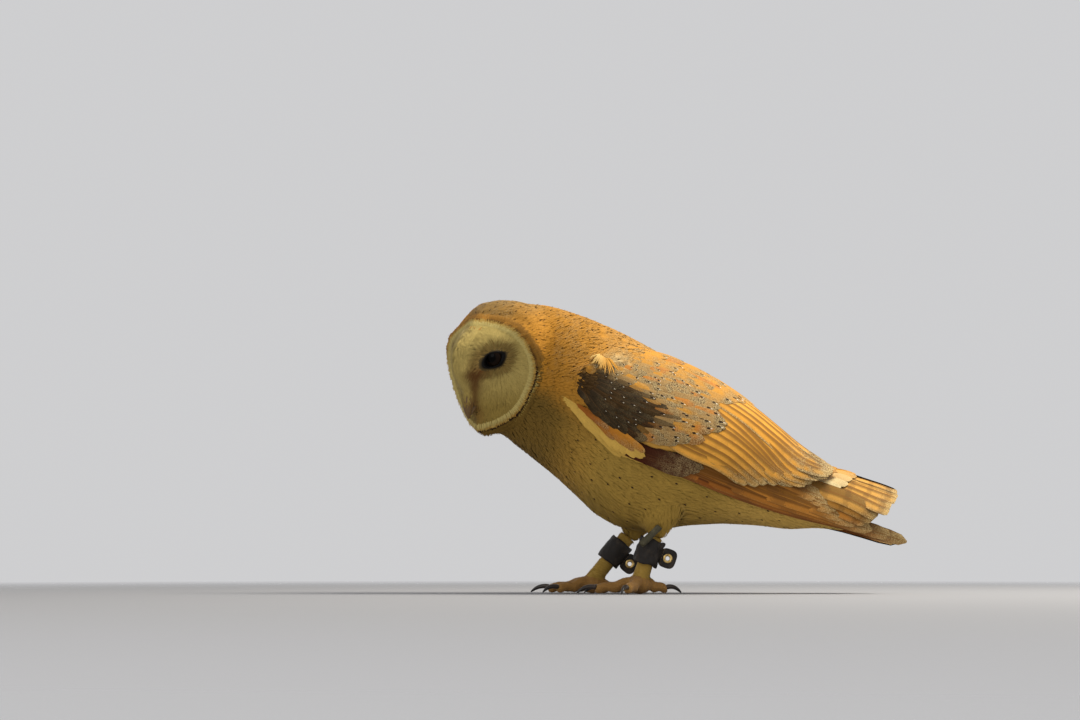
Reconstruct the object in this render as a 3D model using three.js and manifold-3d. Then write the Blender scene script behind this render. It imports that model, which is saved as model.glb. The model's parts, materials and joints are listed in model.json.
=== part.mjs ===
// A barn owl (Tyto alba), life size: it stands leaning forward, wings folded, with its face turned
// to its left. It wears a pair of leather anklets. Millimetres, +Z up, the owl faces -Y and its
// left side is +X. The origin is on the ground, at the middle of the bounding box.
import * as THREE from "three";
import { LoftGeometry } from "three/addons/geometries/LoftGeometry.js";
import { mergeVertices } from "three/addons/utils/BufferGeometryUtils.js";
import Module from "manifold-3d";

const wasm = await Module();
wasm.setup();

// ---- driving dimensions ----

const GAP = 0.3; // clearance between solids that touch
const HEAD_CENTRE = [0, -102, 167];
const HEAD_YAW = THREE.MathUtils.degToRad(51.5); // towards the owl's left
const HEAD_PITCH = THREE.MathUtils.degToRad(10.5); // nose down
const HEAD_ROLL = THREE.MathUtils.degToRad(4); // its left side down
const HEAD_BACK = 44; // the back of the head behind its centre
const FACE_SWEEP = 30; // how far the disc's sides lie behind the middle of the face
const FACE_SIDE = 41; // the half width at which they do
const BRIDGE = 15.5; // the feathered ridge between the eyes, above the face
const BRIDGE_WIDTH = 10.5;
const CROWN_TURN = 0.4; // how far back the crown rises to its full height, in radians
const RUFF = 2; // the raised edge of the disc
const EYE_RADIUS = 8.6;
const EYE_OUT = 14; // eye centre: sideways, forward and up from the head's centre
const EYE_FORWARD = 22.5;
const EYE_UP = 6;
const LEG_OUT = 22; // each foot's distance from the midline
const TARSUS_RADIUS = 6;
const TOE_RADIUS = 4.1;
const CUFF_INNER = 7;
const CUFF_OUTER = 9;
const CUFF_LENGTH = 19;
const TAB_THICKNESS = 3.4;
const EYELET_BORE = 1.5;

// The outer form of the folded bird, wings included, from inside the head to the wing tips:
// back line [y, z], belly line [y, z], half width, then how far the trunk lies inside that width
// and inside the back line, which leaves room for the wings.
const STATIONS = [
  { back: [-97, 209], belly: [-104, 117], width: 15, inset: 0, drop: 0 },
  { back: [-75, 210.5], belly: [-89, 105], width: 24, inset: 0, drop: 0 },
  { back: [-50, 204], belly: [-67, 88], width: 43, inset: 3, drop: 0 },
  { back: [-18, 192], belly: [-48, 71], width: 56, inset: 7, drop: 1 },
  { back: [14, 177], belly: [-31, 55], width: 61, inset: 8, drop: 3 },
  { back: [43, 161], belly: [-5, 44], width: 60, inset: 8, drop: 4 },
  { back: [70, 145], belly: [35, 49], width: 54, inset: 8, drop: 5 },
  { back: [97, 123], belly: [72, 50], width: 45, inset: 9, drop: 6 },
  { back: [119, 103], belly: [106, 46], width: 36, inset: 11, drop: 7 },
  { back: [140, 90], belly: [134, 47], width: 31, inset: 14, drop: 8 },
  { back: [172, 72], belly: [170, 40], width: 28, inset: 14, drop: 8 },
  { back: [205, 38], belly: [206, 31], width: 23, inset: 14, drop: 8 },
];
const NECK_END = 2.45; // station where neck and trunk part
const TRUNK_END = 9.4; // station where the trunk ends, inside the tail

// ---- helpers ----

const lerp = THREE.MathUtils.lerp;
const vec = (x, y, z) => new THREE.Vector3(x, y, z);

// A smooth value along a list: at(i) returns item i exactly, and blends in between.
function smooth(items) {
  const curve = new THREE.CatmullRomCurve3(items.map((item) => vec(...item)));
  return (i) => curve.getPoint(THREE.MathUtils.clamp(i / (items.length - 1), 0, 1));
}

// The same for a list of plain numbers.
function profile(...values) {
  const curve = new THREE.SplineCurve(values.map((value, i) => new THREE.Vector2(i, value)));
  return (i) => curve.getPoint(THREE.MathUtils.clamp(i / (values.length - 1), 0, 1)).y;
}

// A closed three.js geometry as a manifold-3d solid, turned right side out.
function solid(geometry, matrix) {
  const bare = new THREE.BufferGeometry();
  bare.setAttribute("position", geometry.getAttribute("position").clone());
  if (geometry.index) bare.setIndex(geometry.index);
  if (matrix) bare.applyMatrix4(matrix);
  const merged = mergeVertices(bare, 1e-3);
  const build = (triangles) =>
    new wasm.Manifold(
      new wasm.Mesh({
        numProp: 3,
        vertProperties: merged.attributes.position.array,
        triVerts: triangles,
      }),
    );
  const faces = new Uint32Array(merged.index.array);
  const made = build(faces);
  return made.volume() < 0 ? build(faces.reverse()) : made;
}

function geometryOf(manifold) {
  const mesh = manifold.getMesh();
  const geometry = new THREE.BufferGeometry();
  const positions = new Float32Array(mesh.numVert * 3);
  for (let i = 0; i < mesh.numVert; i++) {
    positions.set(mesh.vertProperties.subarray(i * mesh.numProp, i * mesh.numProp + 3), i * 3);
  }
  geometry.setAttribute("position", new THREE.BufferAttribute(positions, 3));
  geometry.setIndex(new THREE.BufferAttribute(new Uint32Array(mesh.triVerts), 1));
  geometry.computeVertexNormals();
  return geometry;
}

const centroid = (ring) =>
  ring.reduce((sum, point) => sum.add(point), vec(0, 0, 0)).divideScalar(ring.length);

// A capped loft through rings of points. Rings that turn the wrong way for their order are reversed.
function loft(sections, matrix) {
  const ring = sections[0];
  const centre = centroid(ring);
  const advance = centroid(sections[1]).sub(centre);
  const facing = ring.reduce((sum, point, i) => {
    const next = ring[(i + 1) % ring.length];
    return sum.add(vec(0, 0, 0).crossVectors(point.clone().sub(centre), next.clone().sub(centre)));
  }, vec(0, 0, 0));
  const rings = facing.dot(advance) < 0 ? sections.map((each) => [...each].reverse()) : sections;
  return solid(new LoftGeometry(rings, { capStart: true, capEnd: true }), matrix);
}

// A ring of points: an ellipse of half sizes a and b along two directions about a centre.
function ellipse(centre, a, across, b, up, sides) {
  return Array.from({ length: sides }, (_, i) => {
    const angle = (2 * Math.PI * i) / sides;
    return centre
      .clone()
      .addScaledVector(across, a * Math.cos(angle))
      .addScaledVector(up, b * Math.sin(angle));
  });
}

// A round limb along a smooth path. keys: [x, y, z, radius], with the same side direction throughout.
function limb(keys, rows, sides, grow = 0) {
  const path = smooth(keys.map((key) => key.slice(0, 3)));
  const radius = smooth(keys.map((key) => [key[3], 0, 0]));
  const last = keys.length - 1;
  const sections = Array.from({ length: rows + 1 }, (_, i) => {
    const t = (i / rows) * last;
    const ahead = path(Math.min(t + 0.05, last));
    const along = ahead.sub(path(Math.max(t - 0.05, 0))).normalize();
    const across = vec(1, 0, 0).addScaledVector(along, -along.x).normalize();
    const up = vec(0, 0, 0).crossVectors(along, across);
    const r = radius(t).x + grow;
    return ellipse(path(t), r, across, r, up, sides);
  });
  return loft(sections);
}

// The largest piece of a solid that a cut left in several.
const largest = (manifold) =>
  manifold.decompose().reduce((a, b) => (a.volume() > b.volume() ? a : b));

const mirrored = (manifold) => manifold.mirror([1, 0, 0]);

// ---- body: neck and trunk ----

const backLine = smooth(STATIONS.map((s) => [0, ...s.back]));
const bellyLine = smooth(STATIONS.map((s) => [0, ...s.belly]));
const widths = smooth(STATIONS.map((s) => [s.width, s.inset, s.drop]));

// A point of the outer form at station t. angle 0 is the back line, PI the belly line; lift moves it out.
function envelope(t, angle, lift = 0) {
  const back = backLine(t);
  const belly = bellyLine(t);
  const centre = back.clone().add(belly).multiplyScalar(0.5);
  const half = back.sub(centre);
  const scale = 1 + lift / half.length();
  return vec((widths(t).x + lift) * Math.sin(angle), 0, 0)
    .add(centre)
    .addScaledVector(half, scale * Math.cos(angle));
}

// The body under the wings, between two stations.
function body(from, to, rows, sides, grow = 0) {
  const sections = Array.from({ length: rows + 1 }, (_, i) => {
    const t = lerp(from, to, i / rows);
    const { y: inset, z: drop } = widths(t);
    const back = backLine(t);
    const belly = bellyLine(t);
    const up = back.clone().sub(belly).normalize();
    back.addScaledVector(up, grow - drop);
    belly.addScaledVector(up, -grow);
    const centre = back.clone().add(belly).multiplyScalar(0.5);
    const height = back.distanceTo(belly) / 2;
    const width = widths(t).x - inset + grow;
    return ellipse(centre, width, vec(1, 0, 0), height, up, sides);
  });
  return loft(sections);
}

// ---- head ----

const headFrame = new THREE.Matrix4()
  .makeTranslation(...HEAD_CENTRE)
  .multiply(new THREE.Matrix4().makeRotationZ(HEAD_YAW))
  .multiply(new THREE.Matrix4().makeRotationX(HEAD_PITCH))
  .multiply(new THREE.Matrix4().makeRotationY(HEAD_ROLL));

// Head coordinates: out is towards the owl's left, forward is where the face looks, up is up.
const inHead = (out, forward, up) => vec(out, -forward, up);

const bump = (x, width) => Math.exp(-((x / width) ** 2));

// Round the face from straight up to straight down: the heart-shaped rim's radius every 30 degrees,
// and the radius of the head behind it every 45 degrees.
const RIM_RADII = profile(34, 38.5, 43.5, 41.5, 40.5, 43, 45.3);
const HEAD_RADII = profile(49, 49.3, 44, 46, 51.5);
// The middle of the face from the chin up, every 16 mm: how far forward it stands.
const FACE_PROFILE = profile(27.5, 31.5, 35.5, 38, 37.5, 20);
const CHIN_UP = -45;

const fromTop = (angle) => Math.abs(Math.atan2(Math.sin(angle), Math.cos(angle)));
const discRadius = (angle) => RIM_RADII((fromTop(angle) * 6) / Math.PI);
const headRadius = (angle) => HEAD_RADII((fromTop(angle) * 4) / Math.PI);

// How far forward the face lies: a swept-back wedge with a bridge, and a dish round each eye.
function faceForward(out, up) {
  const side = Math.abs(out);
  const wedge = FACE_PROFILE((up - CHIN_UP) / 16) - FACE_SWEEP * (side / FACE_SIDE) ** 1.15;
  const bridge = BRIDGE * Math.exp(-((side / BRIDGE_WIDTH) ** 3)) * bump(up - 2, 24);
  const dish = 3 * bump(Math.hypot(side - EYE_OUT, up - EYE_UP), 10);
  return wedge + bridge - dish;
}

// The face's rings from the middle out to the rim, then the dome's from the rim to the back.
const FACE_RINGS = [0.02, 0.12, 0.23, 0.35, 0.49, 0.64, 0.8, 0.93, 1];
const DOME_TURNS = [0.05, 0.15, 0.32, 0.53, 0.75, 0.94]; // in quarter turns

function headSolid(grow = 0) {
  const sides = 24;
  const angles = Array.from({ length: sides }, (_, i) => (2 * Math.PI * i) / sides);
  const face = FACE_RINGS.map((share) =>
    angles.map((angle) => {
      const out = discRadius(angle) * share * Math.sin(angle);
      const up = discRadius(angle) * share * Math.cos(angle);
      const ruff = RUFF * bump(share - 0.94, 0.06);
      const scale = 1 + grow / FACE_SIDE;
      return inHead(out * scale, faceForward(out, up) + ruff + grow, up * scale);
    }),
  );
  const dome = DOME_TURNS.map((quarters) => {
    const turn = (quarters * Math.PI) / 2;
    return angles.map((angle) => {
      const swell = Math.min(1, turn / lerp(0.12, CROWN_TURN, Math.cos(angle / 2) ** 4)) ** 0.6;
      const edge = discRadius(angle);
      const rim = faceForward(edge * Math.sin(angle), edge * Math.cos(angle));
      const radius = (lerp(edge, headRadius(angle), swell) + grow) * Math.cos(turn) ** 0.55;
      const forward = rim - (rim + HEAD_BACK + grow) * Math.sin(turn) ** 1.15;
      return inHead(radius * Math.sin(angle), forward, radius * Math.cos(angle));
    });
  });
  return loft([...face, ...dome], headFrame);
}

function eyeSolid(side, grow = 0) {
  const centre = inHead(side * EYE_OUT, EYE_FORWARD, EYE_UP).applyMatrix4(headFrame);
  const place = new THREE.Matrix4().makeTranslation(...centre);
  return solid(new THREE.SphereGeometry(EYE_RADIUS + grow, 10, 7), place);
}

// A mandible: rows of [forward, up, half width, half depth] from its root to its tip.
function mandible(keys, grow = 0) {
  const place = smooth(keys.map(([forward, up]) => [0, -forward, up]));
  const size = smooth(keys.map(([, , width, depth]) => [width, depth, 0]));
  const rows = 7;
  const last = keys.length - 1;
  const sections = Array.from({ length: rows + 1 }, (_, i) => {
    const t = (i / rows) * last;
    const along = place(Math.min(t + 0.05, last)).sub(place(Math.max(t - 0.05, 0))).normalize();
    const up = vec(0, 0, 0).crossVectors(along, vec(1, 0, 0));
    const { x: width, y: depth } = size(t);
    return ellipse(place(t), width + grow, vec(1, 0, 0), depth + grow, up, 9);
  });
  return loft(sections, headFrame);
}

const UPPER_BILL = [
  [30, -9, 5.4, 6],
  [36, -16, 5.3, 5.4],
  [38.5, -23, 4.5, 4.8],
  [40.3, -30, 3.1, 3.2],
  [39, -36.5, 0.8, 0.8],
];
const LOWER_BILL = [
  [27, -22, 4.4, 3],
  [33, -27, 4, 2.8],
  [36, -31, 2.6, 2],
  [37, -34, 0.9, 0.8],
];

// ---- wings and tail: plates of overlapping feathers ----

// A feather plate. surface(t, v, depth) gives a point at depth below the outer face, t runs from
// root to tips and v across; from(v) and to(v) give where each line of it starts and ends.
function plate({ surface, from, to, thickness, rows, columns, grow = 0 }) {
  const positions = [];
  for (const inner of [0, 1]) {
    for (let row = 0; row <= rows; row++) {
      for (let column = 0; column <= columns; column++) {
        const v = column / columns;
        const t = lerp(from(v) - grow / 20, to(v) + grow / 20, row / rows);
        const across = lerp(-grow / 40, 1 + grow / 40, v);
        positions.push(...surface(t, across, inner ? thickness(t, v) + grow : -grow));
      }
    }
  }
  const at = (inner, row, column) => (inner * (rows + 1) + row) * (columns + 1) + column;
  const faces = [];
  const quad = (a, b, c, d) => faces.push(a, b, c, a, c, d);
  for (let row = 0; row < rows; row++) {
    for (let column = 0; column < columns; column++) {
      const corners = (inner) => [
        at(inner, row, column),
        at(inner, row + 1, column),
        at(inner, row + 1, column + 1),
        at(inner, row, column + 1),
      ];
      quad(...corners(0));
      quad(...corners(1).reverse());
    }
    quad(at(0, row, 0), at(1, row, 0), at(1, row + 1, 0), at(0, row + 1, 0));
    quad(at(0, row + 1, columns), at(1, row + 1, columns), at(1, row, columns), at(0, row, columns));
  }
  for (let column = 0; column < columns; column++) {
    quad(at(0, 0, column + 1), at(1, 0, column + 1), at(1, 0, column), at(0, 0, column));
    quad(at(0, rows, column), at(1, rows, column), at(1, rows, column + 1), at(0, rows, column + 1));
  }
  const geometry = new THREE.BufferGeometry();
  geometry.setAttribute("position", new THREE.Float32BufferAttribute(positions, 3));
  geometry.setIndex(faces);
  return solid(geometry);
}

// Feather ends along an edge: 0 at the middle of each of count tips, 1 between them.
const notches = (v, count) => Math.abs(2 * ((v * count) % 1) - 1) ** 2;

// A line along the flank: at each whole station, how high it runs, 1 on the back line, -1 on the belly.
function flankLine(first, ...heights) {
  const height = profile(...heights);
  return (t) => Math.acos(height(t - first));
}

// The folded arm: shoulder, coverts, and the fan of secondaries and tertials over the back.
const ARM_TOP = flankLine(2.25, 0.55, 0.8, 0.955, 0.985, 0.985, 0.98, 0.97, 0.93, 0.85);
const ARM_FOOT = flankLine(2.25, 0.08, -0.16, -0.17, -0.12, -0.02, -0.11, -0.1, 0.16, 0.3);

function arm(grow = 0) {
  const body = (t) => lerp(13, 2, THREE.MathUtils.smoothstep(t, 5, 9.2));
  return plate({
    surface: (t, v, depth) => envelope(t, lerp(ARM_TOP(t), ARM_FOOT(t), v), -depth),
    from: (v) => 2.25 + 0.75 * (1 - v) ** 2 + 1.25 * Math.max(0, v - 0.8),
    to: (v) => 9.3 - 1.5 * v ** 1.5 - 0.2 * notches(v, 9),
    thickness: (t, v) => Math.max(2, body(t) * Math.sin(Math.PI * (0.1 + 0.8 * v))),
    rows: 7,
    columns: 18,
    grow,
  });
}

// The folded hand: the leading edge, the primaries and their coverts, low along the flank.
const HAND_TOP = flankLine(2, 0.1, 0, 0.05, 0.1, 0.1, 0.1, 0.3, 0.15, 0.1, 0.5);
const HAND_FOOT = flankLine(2, -0.1, -0.33, -0.29, -0.24, -0.49, -0.65, -0.7, -0.82, -0.88, -0.9);
const HAND_SUNK = 4.6; // how far it lies below the arm's outer face, where the arm covers it

function hand() {
  const covered = (v) => 1 - THREE.MathUtils.smoothstep(v, 0.3, 0.8);
  const sunk = (t, v) => HAND_SUNK * covered(v) * (1 - THREE.MathUtils.smoothstep(t, 8, 10));
  return plate({
    surface: (t, v, depth) => envelope(t, lerp(HAND_TOP(t), HAND_FOOT(t), v), -depth - sunk(t, v)),
    from: (v) => 2.5 + 0.15 * v,
    to: (v) => 10.97 - 1.5 * (1 - v) ** 1.4 - 0.5 * v ** 3 - 0.12 * notches(v, 6),
    thickness: (t) => lerp(5, 1.6, THREE.MathUtils.smoothstep(t, 5, 9.5)),
    rows: 6,
    columns: 12,
  });
}

// The tail: a tent of twelve feathers, the middle pair on top. [y, ridge z, half width, fall of the sides]
const TAIL = [
  [108, 96, 15, 8],
  [132, 92, 21, 15],
  [158, 84.5, 25, 20],
  [186, 74, 28, 24],
];

function tail() {
  const ridge = smooth(TAIL.map(([y, z]) => [0, y, z]));
  const spread = smooth(TAIL.map(([, , width, fall]) => [width, fall, 0]));
  const last = TAIL.length - 1;
  return plate({
    surface: (t, v, depth) => {
      const side = 2 * v - 1;
      const { x: width, y: fall } = spread(t);
      const point = ridge(t).add(vec(width * side, 0, -fall * Math.abs(side) ** 1.6));
      return point.add(vec(-0.35 * depth * side, -0.2 * depth, -depth));
    },
    from: () => 0.3,
    to: (v) => last - 0.55 * Math.abs(2 * v - 1) ** 2 - 0.05 * notches(v, 12),
    thickness: () => 2.4,
    rows: 2,
    columns: 24,
  });
}

// ---- legs ----

// Each leg: where it leaves the belly, where the bare part starts, and the foot's middle, as [y, z].
const LEGS = {
  left: { side: 1, hip: [16, 70], knee: [9, 44], foot: [-3, 9.5], middleToe: 6 },
  right: { side: -1, hip: [8, 70], knee: [-6, 45], foot: [-35, 9.5], middleToe: -2 },
};

const legPoint = (leg, [y, z]) => vec(leg.side * LEG_OUT, y, z);

function thigh(leg, grow = 0) {
  const hip = legPoint(leg, leg.hip);
  const knee = legPoint(leg, leg.knee);
  const foot = legPoint(leg, leg.foot);
  const cuffTop = knee.clone().lerp(foot, 0.1);
  const middle = hip.clone().lerp(knee, 0.6);
  return limb(
    [
      [...hip, 19],
      [...middle, 15],
      [...knee, 9.5],
      [...cuffTop, TARSUS_RADIUS + 0.4],
    ],
    5,
    12,
    grow,
  );
}

function shank(leg) {
  const knee = legPoint(leg, leg.knee);
  const foot = legPoint(leg, leg.foot);
  const top = knee.clone().lerp(foot, 0.1).addScaledVector(foot.clone().sub(knee).normalize(), GAP);
  return limb(
    [
      [...top, TARSUS_RADIUS],
      [...knee.clone().lerp(foot, 0.5), TARSUS_RADIUS - 0.5],
      [...foot, TARSUS_RADIUS],
    ],
    3,
    10,
  );
}

// Toes: name, direction from straight ahead towards the outside in degrees, length, claw length.
const TOES = [
  { name: "inner", turn: -26, length: 29, claw: 14 },
  { name: "middle", turn: 4, length: 32, claw: 15 },
  { name: "outer", turn: 62, length: 27, claw: 13 },
  { name: "hind", turn: 186, length: 20, claw: 12 },
];

function toePath(leg, toe) {
  const turn = THREE.MathUtils.degToRad(toe.turn + leg.middleToe) * leg.side;
  const ahead = vec(Math.sin(turn), -Math.cos(turn), 0);
  const root = legPoint(leg, leg.foot);
  const at = (share, z) => root.clone().addScaledVector(ahead, share * toe.length).setZ(z);
  return { ahead, at };
}

function toeSolid(leg, toe) {
  const { at } = toePath(leg, toe);
  const r = TOE_RADIUS;
  return limb(
    [
      [...at(0.05, 8), r * 1.35],
      [...at(0.35, 7.6), r * 1.05],
      [...at(0.55, 4.6), r * 1.08],
      [...at(0.76, 5.2), r * 0.9],
      [...at(0.93, 3.6), r * 0.96],
      [...at(1, 4), r * 0.72],
    ],
    5,
    6,
  );
}

function footSolid(leg) {
  const centre = legPoint(leg, leg.foot);
  const squash = new THREE.Matrix4().makeTranslation(centre.x, centre.y, 6.8);
  squash.scale(vec(8, 9, 7.2));
  const pad = solid(new THREE.SphereGeometry(1, 10, 6), squash);
  const joined = TOES.reduce((foot, toe) => foot.add(toeSolid(leg, toe)), pad);
  return joined.trimByPlane([0, 0, 1], 0);
}

// A claw, from inside its toe down to the ground in an arc.
function clawSolid(leg, toe, grow = 0) {
  const { ahead, at } = toePath(leg, toe);
  const root = at(0.96, 4.6);
  const tilt = (share, z, r) => [...root.clone().addScaledVector(ahead, share * toe.claw).setZ(z), r];
  return limb(
    [tilt(0, 4.6, 2), tilt(0.32, 5.4, 1.9), tilt(0.68, 4, 1.4), tilt(0.95, 0.9, 0.45)],
    4,
    6,
    grow,
  );
}

// ---- what it wears ----

// The anklet's own directions: along the shank, out to the left, and back, away from the toes.
function cuffAxes(leg) {
  const knee = legPoint(leg, leg.knee);
  const foot = legPoint(leg, leg.foot);
  const along = knee.clone().sub(foot).normalize();
  const back = vec(0, 1, 0).addScaledVector(along, -along.y).normalize();
  const out = vec(0, 0, 0).crossVectors(back, along);
  return { along, back, out, centre: foot.lerp(knee, 0.58) };
}

// A turned solid about z from a closed profile of [radius, z].
function turned(points, sides, matrix) {
  const closed = [...points, points[0]].map(([r, z]) => new THREE.Vector2(r, z));
  return solid(new THREE.LatheGeometry(closed, sides).rotateX(Math.PI / 2), matrix);
}

const TAB_REACH = CUFF_OUTER + 11; // the tab's end, from the middle of the leg
const TAB_HALF = 7.5;
const EYELET_AT = CUFF_OUTER + 5;

// The doubled tab where the cuff's ends meet behind the leg, with the hole for the eyelet.
function tab({ along, back, out, centre }) {
  const shape = new THREE.Shape();
  shape.moveTo(CUFF_INNER + 0.8, -TAB_HALF);
  shape.lineTo(TAB_REACH - 7, -TAB_HALF + 1.5);
  shape.quadraticCurveTo(TAB_REACH, -TAB_HALF + 2.5, TAB_REACH, 0);
  shape.quadraticCurveTo(TAB_REACH, TAB_HALF - 2.5, TAB_REACH - 7, TAB_HALF - 1.5);
  shape.lineTo(CUFF_INNER + 0.8, TAB_HALF);
  const hole = new THREE.Path().absarc(EYELET_AT, 0, EYELET_BORE + 0.4 + GAP, 0, 2 * Math.PI);
  shape.holes.push(hole);
  const options = { depth: TAB_THICKNESS, bevelEnabled: false, curveSegments: 4 };
  const place = new THREE.Matrix4()
    .makeBasis(back, along, out)
    .setPosition(centre.clone().addScaledVector(out, -TAB_THICKNESS / 2));
  return solid(new THREE.ExtrudeGeometry(shape, options), place);
}

function anklet(leg) {
  const axes = cuffAxes(leg);
  const half = CUFF_LENGTH / 2;
  const edge = 0.6;
  const place = new THREE.Matrix4()
    .makeBasis(axes.out, axes.back, axes.along)
    .setPosition(axes.centre);
  const cuff = turned(
    [
      [CUFF_INNER, -half],
      [CUFF_OUTER - edge, -half],
      [CUFF_OUTER, -half + edge],
      [CUFF_OUTER, half - edge],
      [CUFF_OUTER - edge, half],
      [CUFF_INNER, half],
    ],
    12,
    place,
  );
  return cuff.add(tab(axes));
}

// A brass eyelet: a short tube through the tab with a flange on each face.
function eyelet(leg) {
  const { along, back, out, centre } = cuffAxes(leg);
  const tube = EYELET_BORE + 0.4;
  const flange = EYELET_BORE + 2;
  const inside = TAB_THICKNESS / 2 + GAP;
  const face = inside + 0.6;
  const place = new THREE.Matrix4()
    .makeBasis(back, along, out)
    .setPosition(centre.clone().addScaledVector(back, EYELET_AT));
  return turned(
    [
      [EYELET_BORE, -face],
      [flange, -face],
      [flange, -inside],
      [tube, -inside],
      [tube, inside],
      [flange, inside],
      [flange, face],
      [EYELET_BORE, face],
    ],
    8,
    place,
  );
}

// The rolled leather button that closes the left anklet, on its outer side.
const ROLL = { radius: 2.8, from: [-3, 34], to: [11, 47.5] };

function strapRoll(grow = 0) {
  const x = LEG_OUT + CUFF_OUTER + GAP + ROLL.radius;
  const from = vec(x, ...ROLL.from);
  const to = vec(x, ...ROLL.to);
  const at = (share, radius) => [...from.clone().lerp(to, share), radius];
  const r = ROLL.radius;
  const keys = [at(0, r - 0.5), at(0.04, r), at(0.5, r - 0.1), at(0.96, r), at(1, r - 0.5)];
  return limb(keys, 4, 10, grow);
}

// ---- assembly ----

const COLOURS = {
  face: [0xd9cba0, 0.9],
  gold: [0xc98a3c, 0.85],
  cream: [0xd9bd7c, 0.9],
  flight: [0xc08a44, 0.8],
  foot: [0x9a7448, 0.7],
  horn: [0x2c2622, 0.35],
  bill: [0xcdb9a2, 0.45],
  eye: [0x0c0908, 0.08],
  leather: [0x241f1a, 0.65],
  strap: [0x5d5a44, 0.75],
  brass: [0xb9a06a, 0.35],
};

const owl = new THREE.Group();

function place(name, manifold, look) {
  const [color, roughness] = COLOURS[look];
  const metalness = look === "brass" ? 1 : 0;
  const material = new THREE.MeshStandardMaterial({ color, roughness, metalness });
  const mesh = new THREE.Mesh(geometryOf(largest(manifold)), material);
  mesh.name = name;
  owl.add(mesh);
}

function placeHead() {
  const upper = mandible(UPPER_BILL);
  const lower = mandible(LOWER_BILL).subtract(mandible(UPPER_BILL, GAP));
  const cavities = [
    mandible(UPPER_BILL, GAP),
    mandible(LOWER_BILL, GAP),
    eyeSolid(1, GAP),
    eyeSolid(-1, GAP),
  ];
  place("head", cavities.reduce((head, cavity) => head.subtract(cavity), headSolid()), "face");
  place("bill_upper", upper, "bill");
  place("bill_lower", lower, "bill");
  place("eye_left", eyeSolid(1), "eye");
  place("eye_right", eyeSolid(-1), "eye");
}

const STATION_GAP = GAP / 25; // a clearance along the body, in stations
const neckSolid = (grow = 0) =>
  body(0, NECK_END - (grow ? 0 : STATION_GAP / 2), 5, 22, grow).subtract(headSolid(GAP));
const trunkSolid = (grow = 0) => body(NECK_END + STATION_GAP / 2, TRUNK_END, 10, 22, grow);

function placeBody() {
  place("neck", neckSolid(), "gold");
  place("trunk", trunkSolid(), "cream");
  const carve = (wing) => wing.subtract(trunkSolid(GAP)).subtract(neckSolid(GAP)).subtract(headSolid(GAP));
  const hands = hand().subtract(arm(GAP));
  const sides = { left: (part) => part, right: mirrored };
  for (const [side, onSide] of Object.entries(sides)) {
    place(`wing_${side}`, carve(onSide(arm())), "gold");
    place(`primaries_${side}`, carve(onSide(hands)), "flight");
  }
  const wingSpace = arm(GAP).add(mirrored(arm(GAP)));
  place("tail", tail().subtract(trunkSolid(GAP)).subtract(wingSpace), "flight");
}

function placeLeg(name, leg) {
  const cavities = trunkSolid(GAP).add(strapRoll(GAP));
  place(`thigh_${name}`, thigh(leg).subtract(cavities), "cream");
  const claws = TOES.map((toe) => clawSolid(leg, toe, GAP));
  const foot = claws.reduce((rest, claw) => rest.subtract(claw), footSolid(leg));
  place(`shank_${name}`, shank(leg).subtract(footSolid(leg)), "cream");
  place(`foot_${name}`, foot, "foot");
  for (const toe of TOES) place(`claw_${name}_${toe.name}`, clawSolid(leg, toe), "horn");
  place(`anklet_${name}`, anklet(leg), "leather");
  place(`eyelet_${name}`, eyelet(leg), "brass");
}

placeHead();
placeBody();
for (const [name, leg] of Object.entries(LEGS)) placeLeg(name, leg);
place("strap_roll_left", strapRoll(), "strap");

// Stand it on the ground, over the middle of its bounding box.
const box = new THREE.Box3().setFromObject(owl);
const middle = box.getCenter(new THREE.Vector3());
owl.position.set(-middle.x, -middle.y, -box.min.z);

export default owl;
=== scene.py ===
"""A life-size barn owl: skin, feathers, eyes, bill, feet and anklets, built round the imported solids.

Millimetres throughout, in the frame's own axes: +Z up, the owl faces -Y, its left is +X. Points become
metres only where a mesh is written. Feathers are closed vanes laid on the outer form of the solids.
"""
import json
import math

import bmesh
import bpy
import numpy as np
from mathutils import Matrix, Vector
from mathutils.bvhtree import BVHTree


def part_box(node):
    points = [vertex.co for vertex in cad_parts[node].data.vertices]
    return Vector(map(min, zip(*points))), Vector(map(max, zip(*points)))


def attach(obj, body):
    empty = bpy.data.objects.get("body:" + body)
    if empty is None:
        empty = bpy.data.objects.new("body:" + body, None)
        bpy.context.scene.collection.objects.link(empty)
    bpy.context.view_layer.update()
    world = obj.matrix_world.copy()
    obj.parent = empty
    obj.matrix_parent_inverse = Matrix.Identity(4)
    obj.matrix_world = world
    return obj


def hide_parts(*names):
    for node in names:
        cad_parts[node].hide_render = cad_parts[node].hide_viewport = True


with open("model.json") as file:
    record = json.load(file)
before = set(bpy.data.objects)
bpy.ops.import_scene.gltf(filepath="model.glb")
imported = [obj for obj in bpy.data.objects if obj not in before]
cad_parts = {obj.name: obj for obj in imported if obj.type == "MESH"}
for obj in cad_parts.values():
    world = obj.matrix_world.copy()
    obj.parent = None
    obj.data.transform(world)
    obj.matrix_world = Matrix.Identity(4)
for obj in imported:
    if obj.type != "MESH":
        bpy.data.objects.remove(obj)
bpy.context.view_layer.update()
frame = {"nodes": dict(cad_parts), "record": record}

# ---- driving dimensions, millimetres and degrees ----

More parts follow.
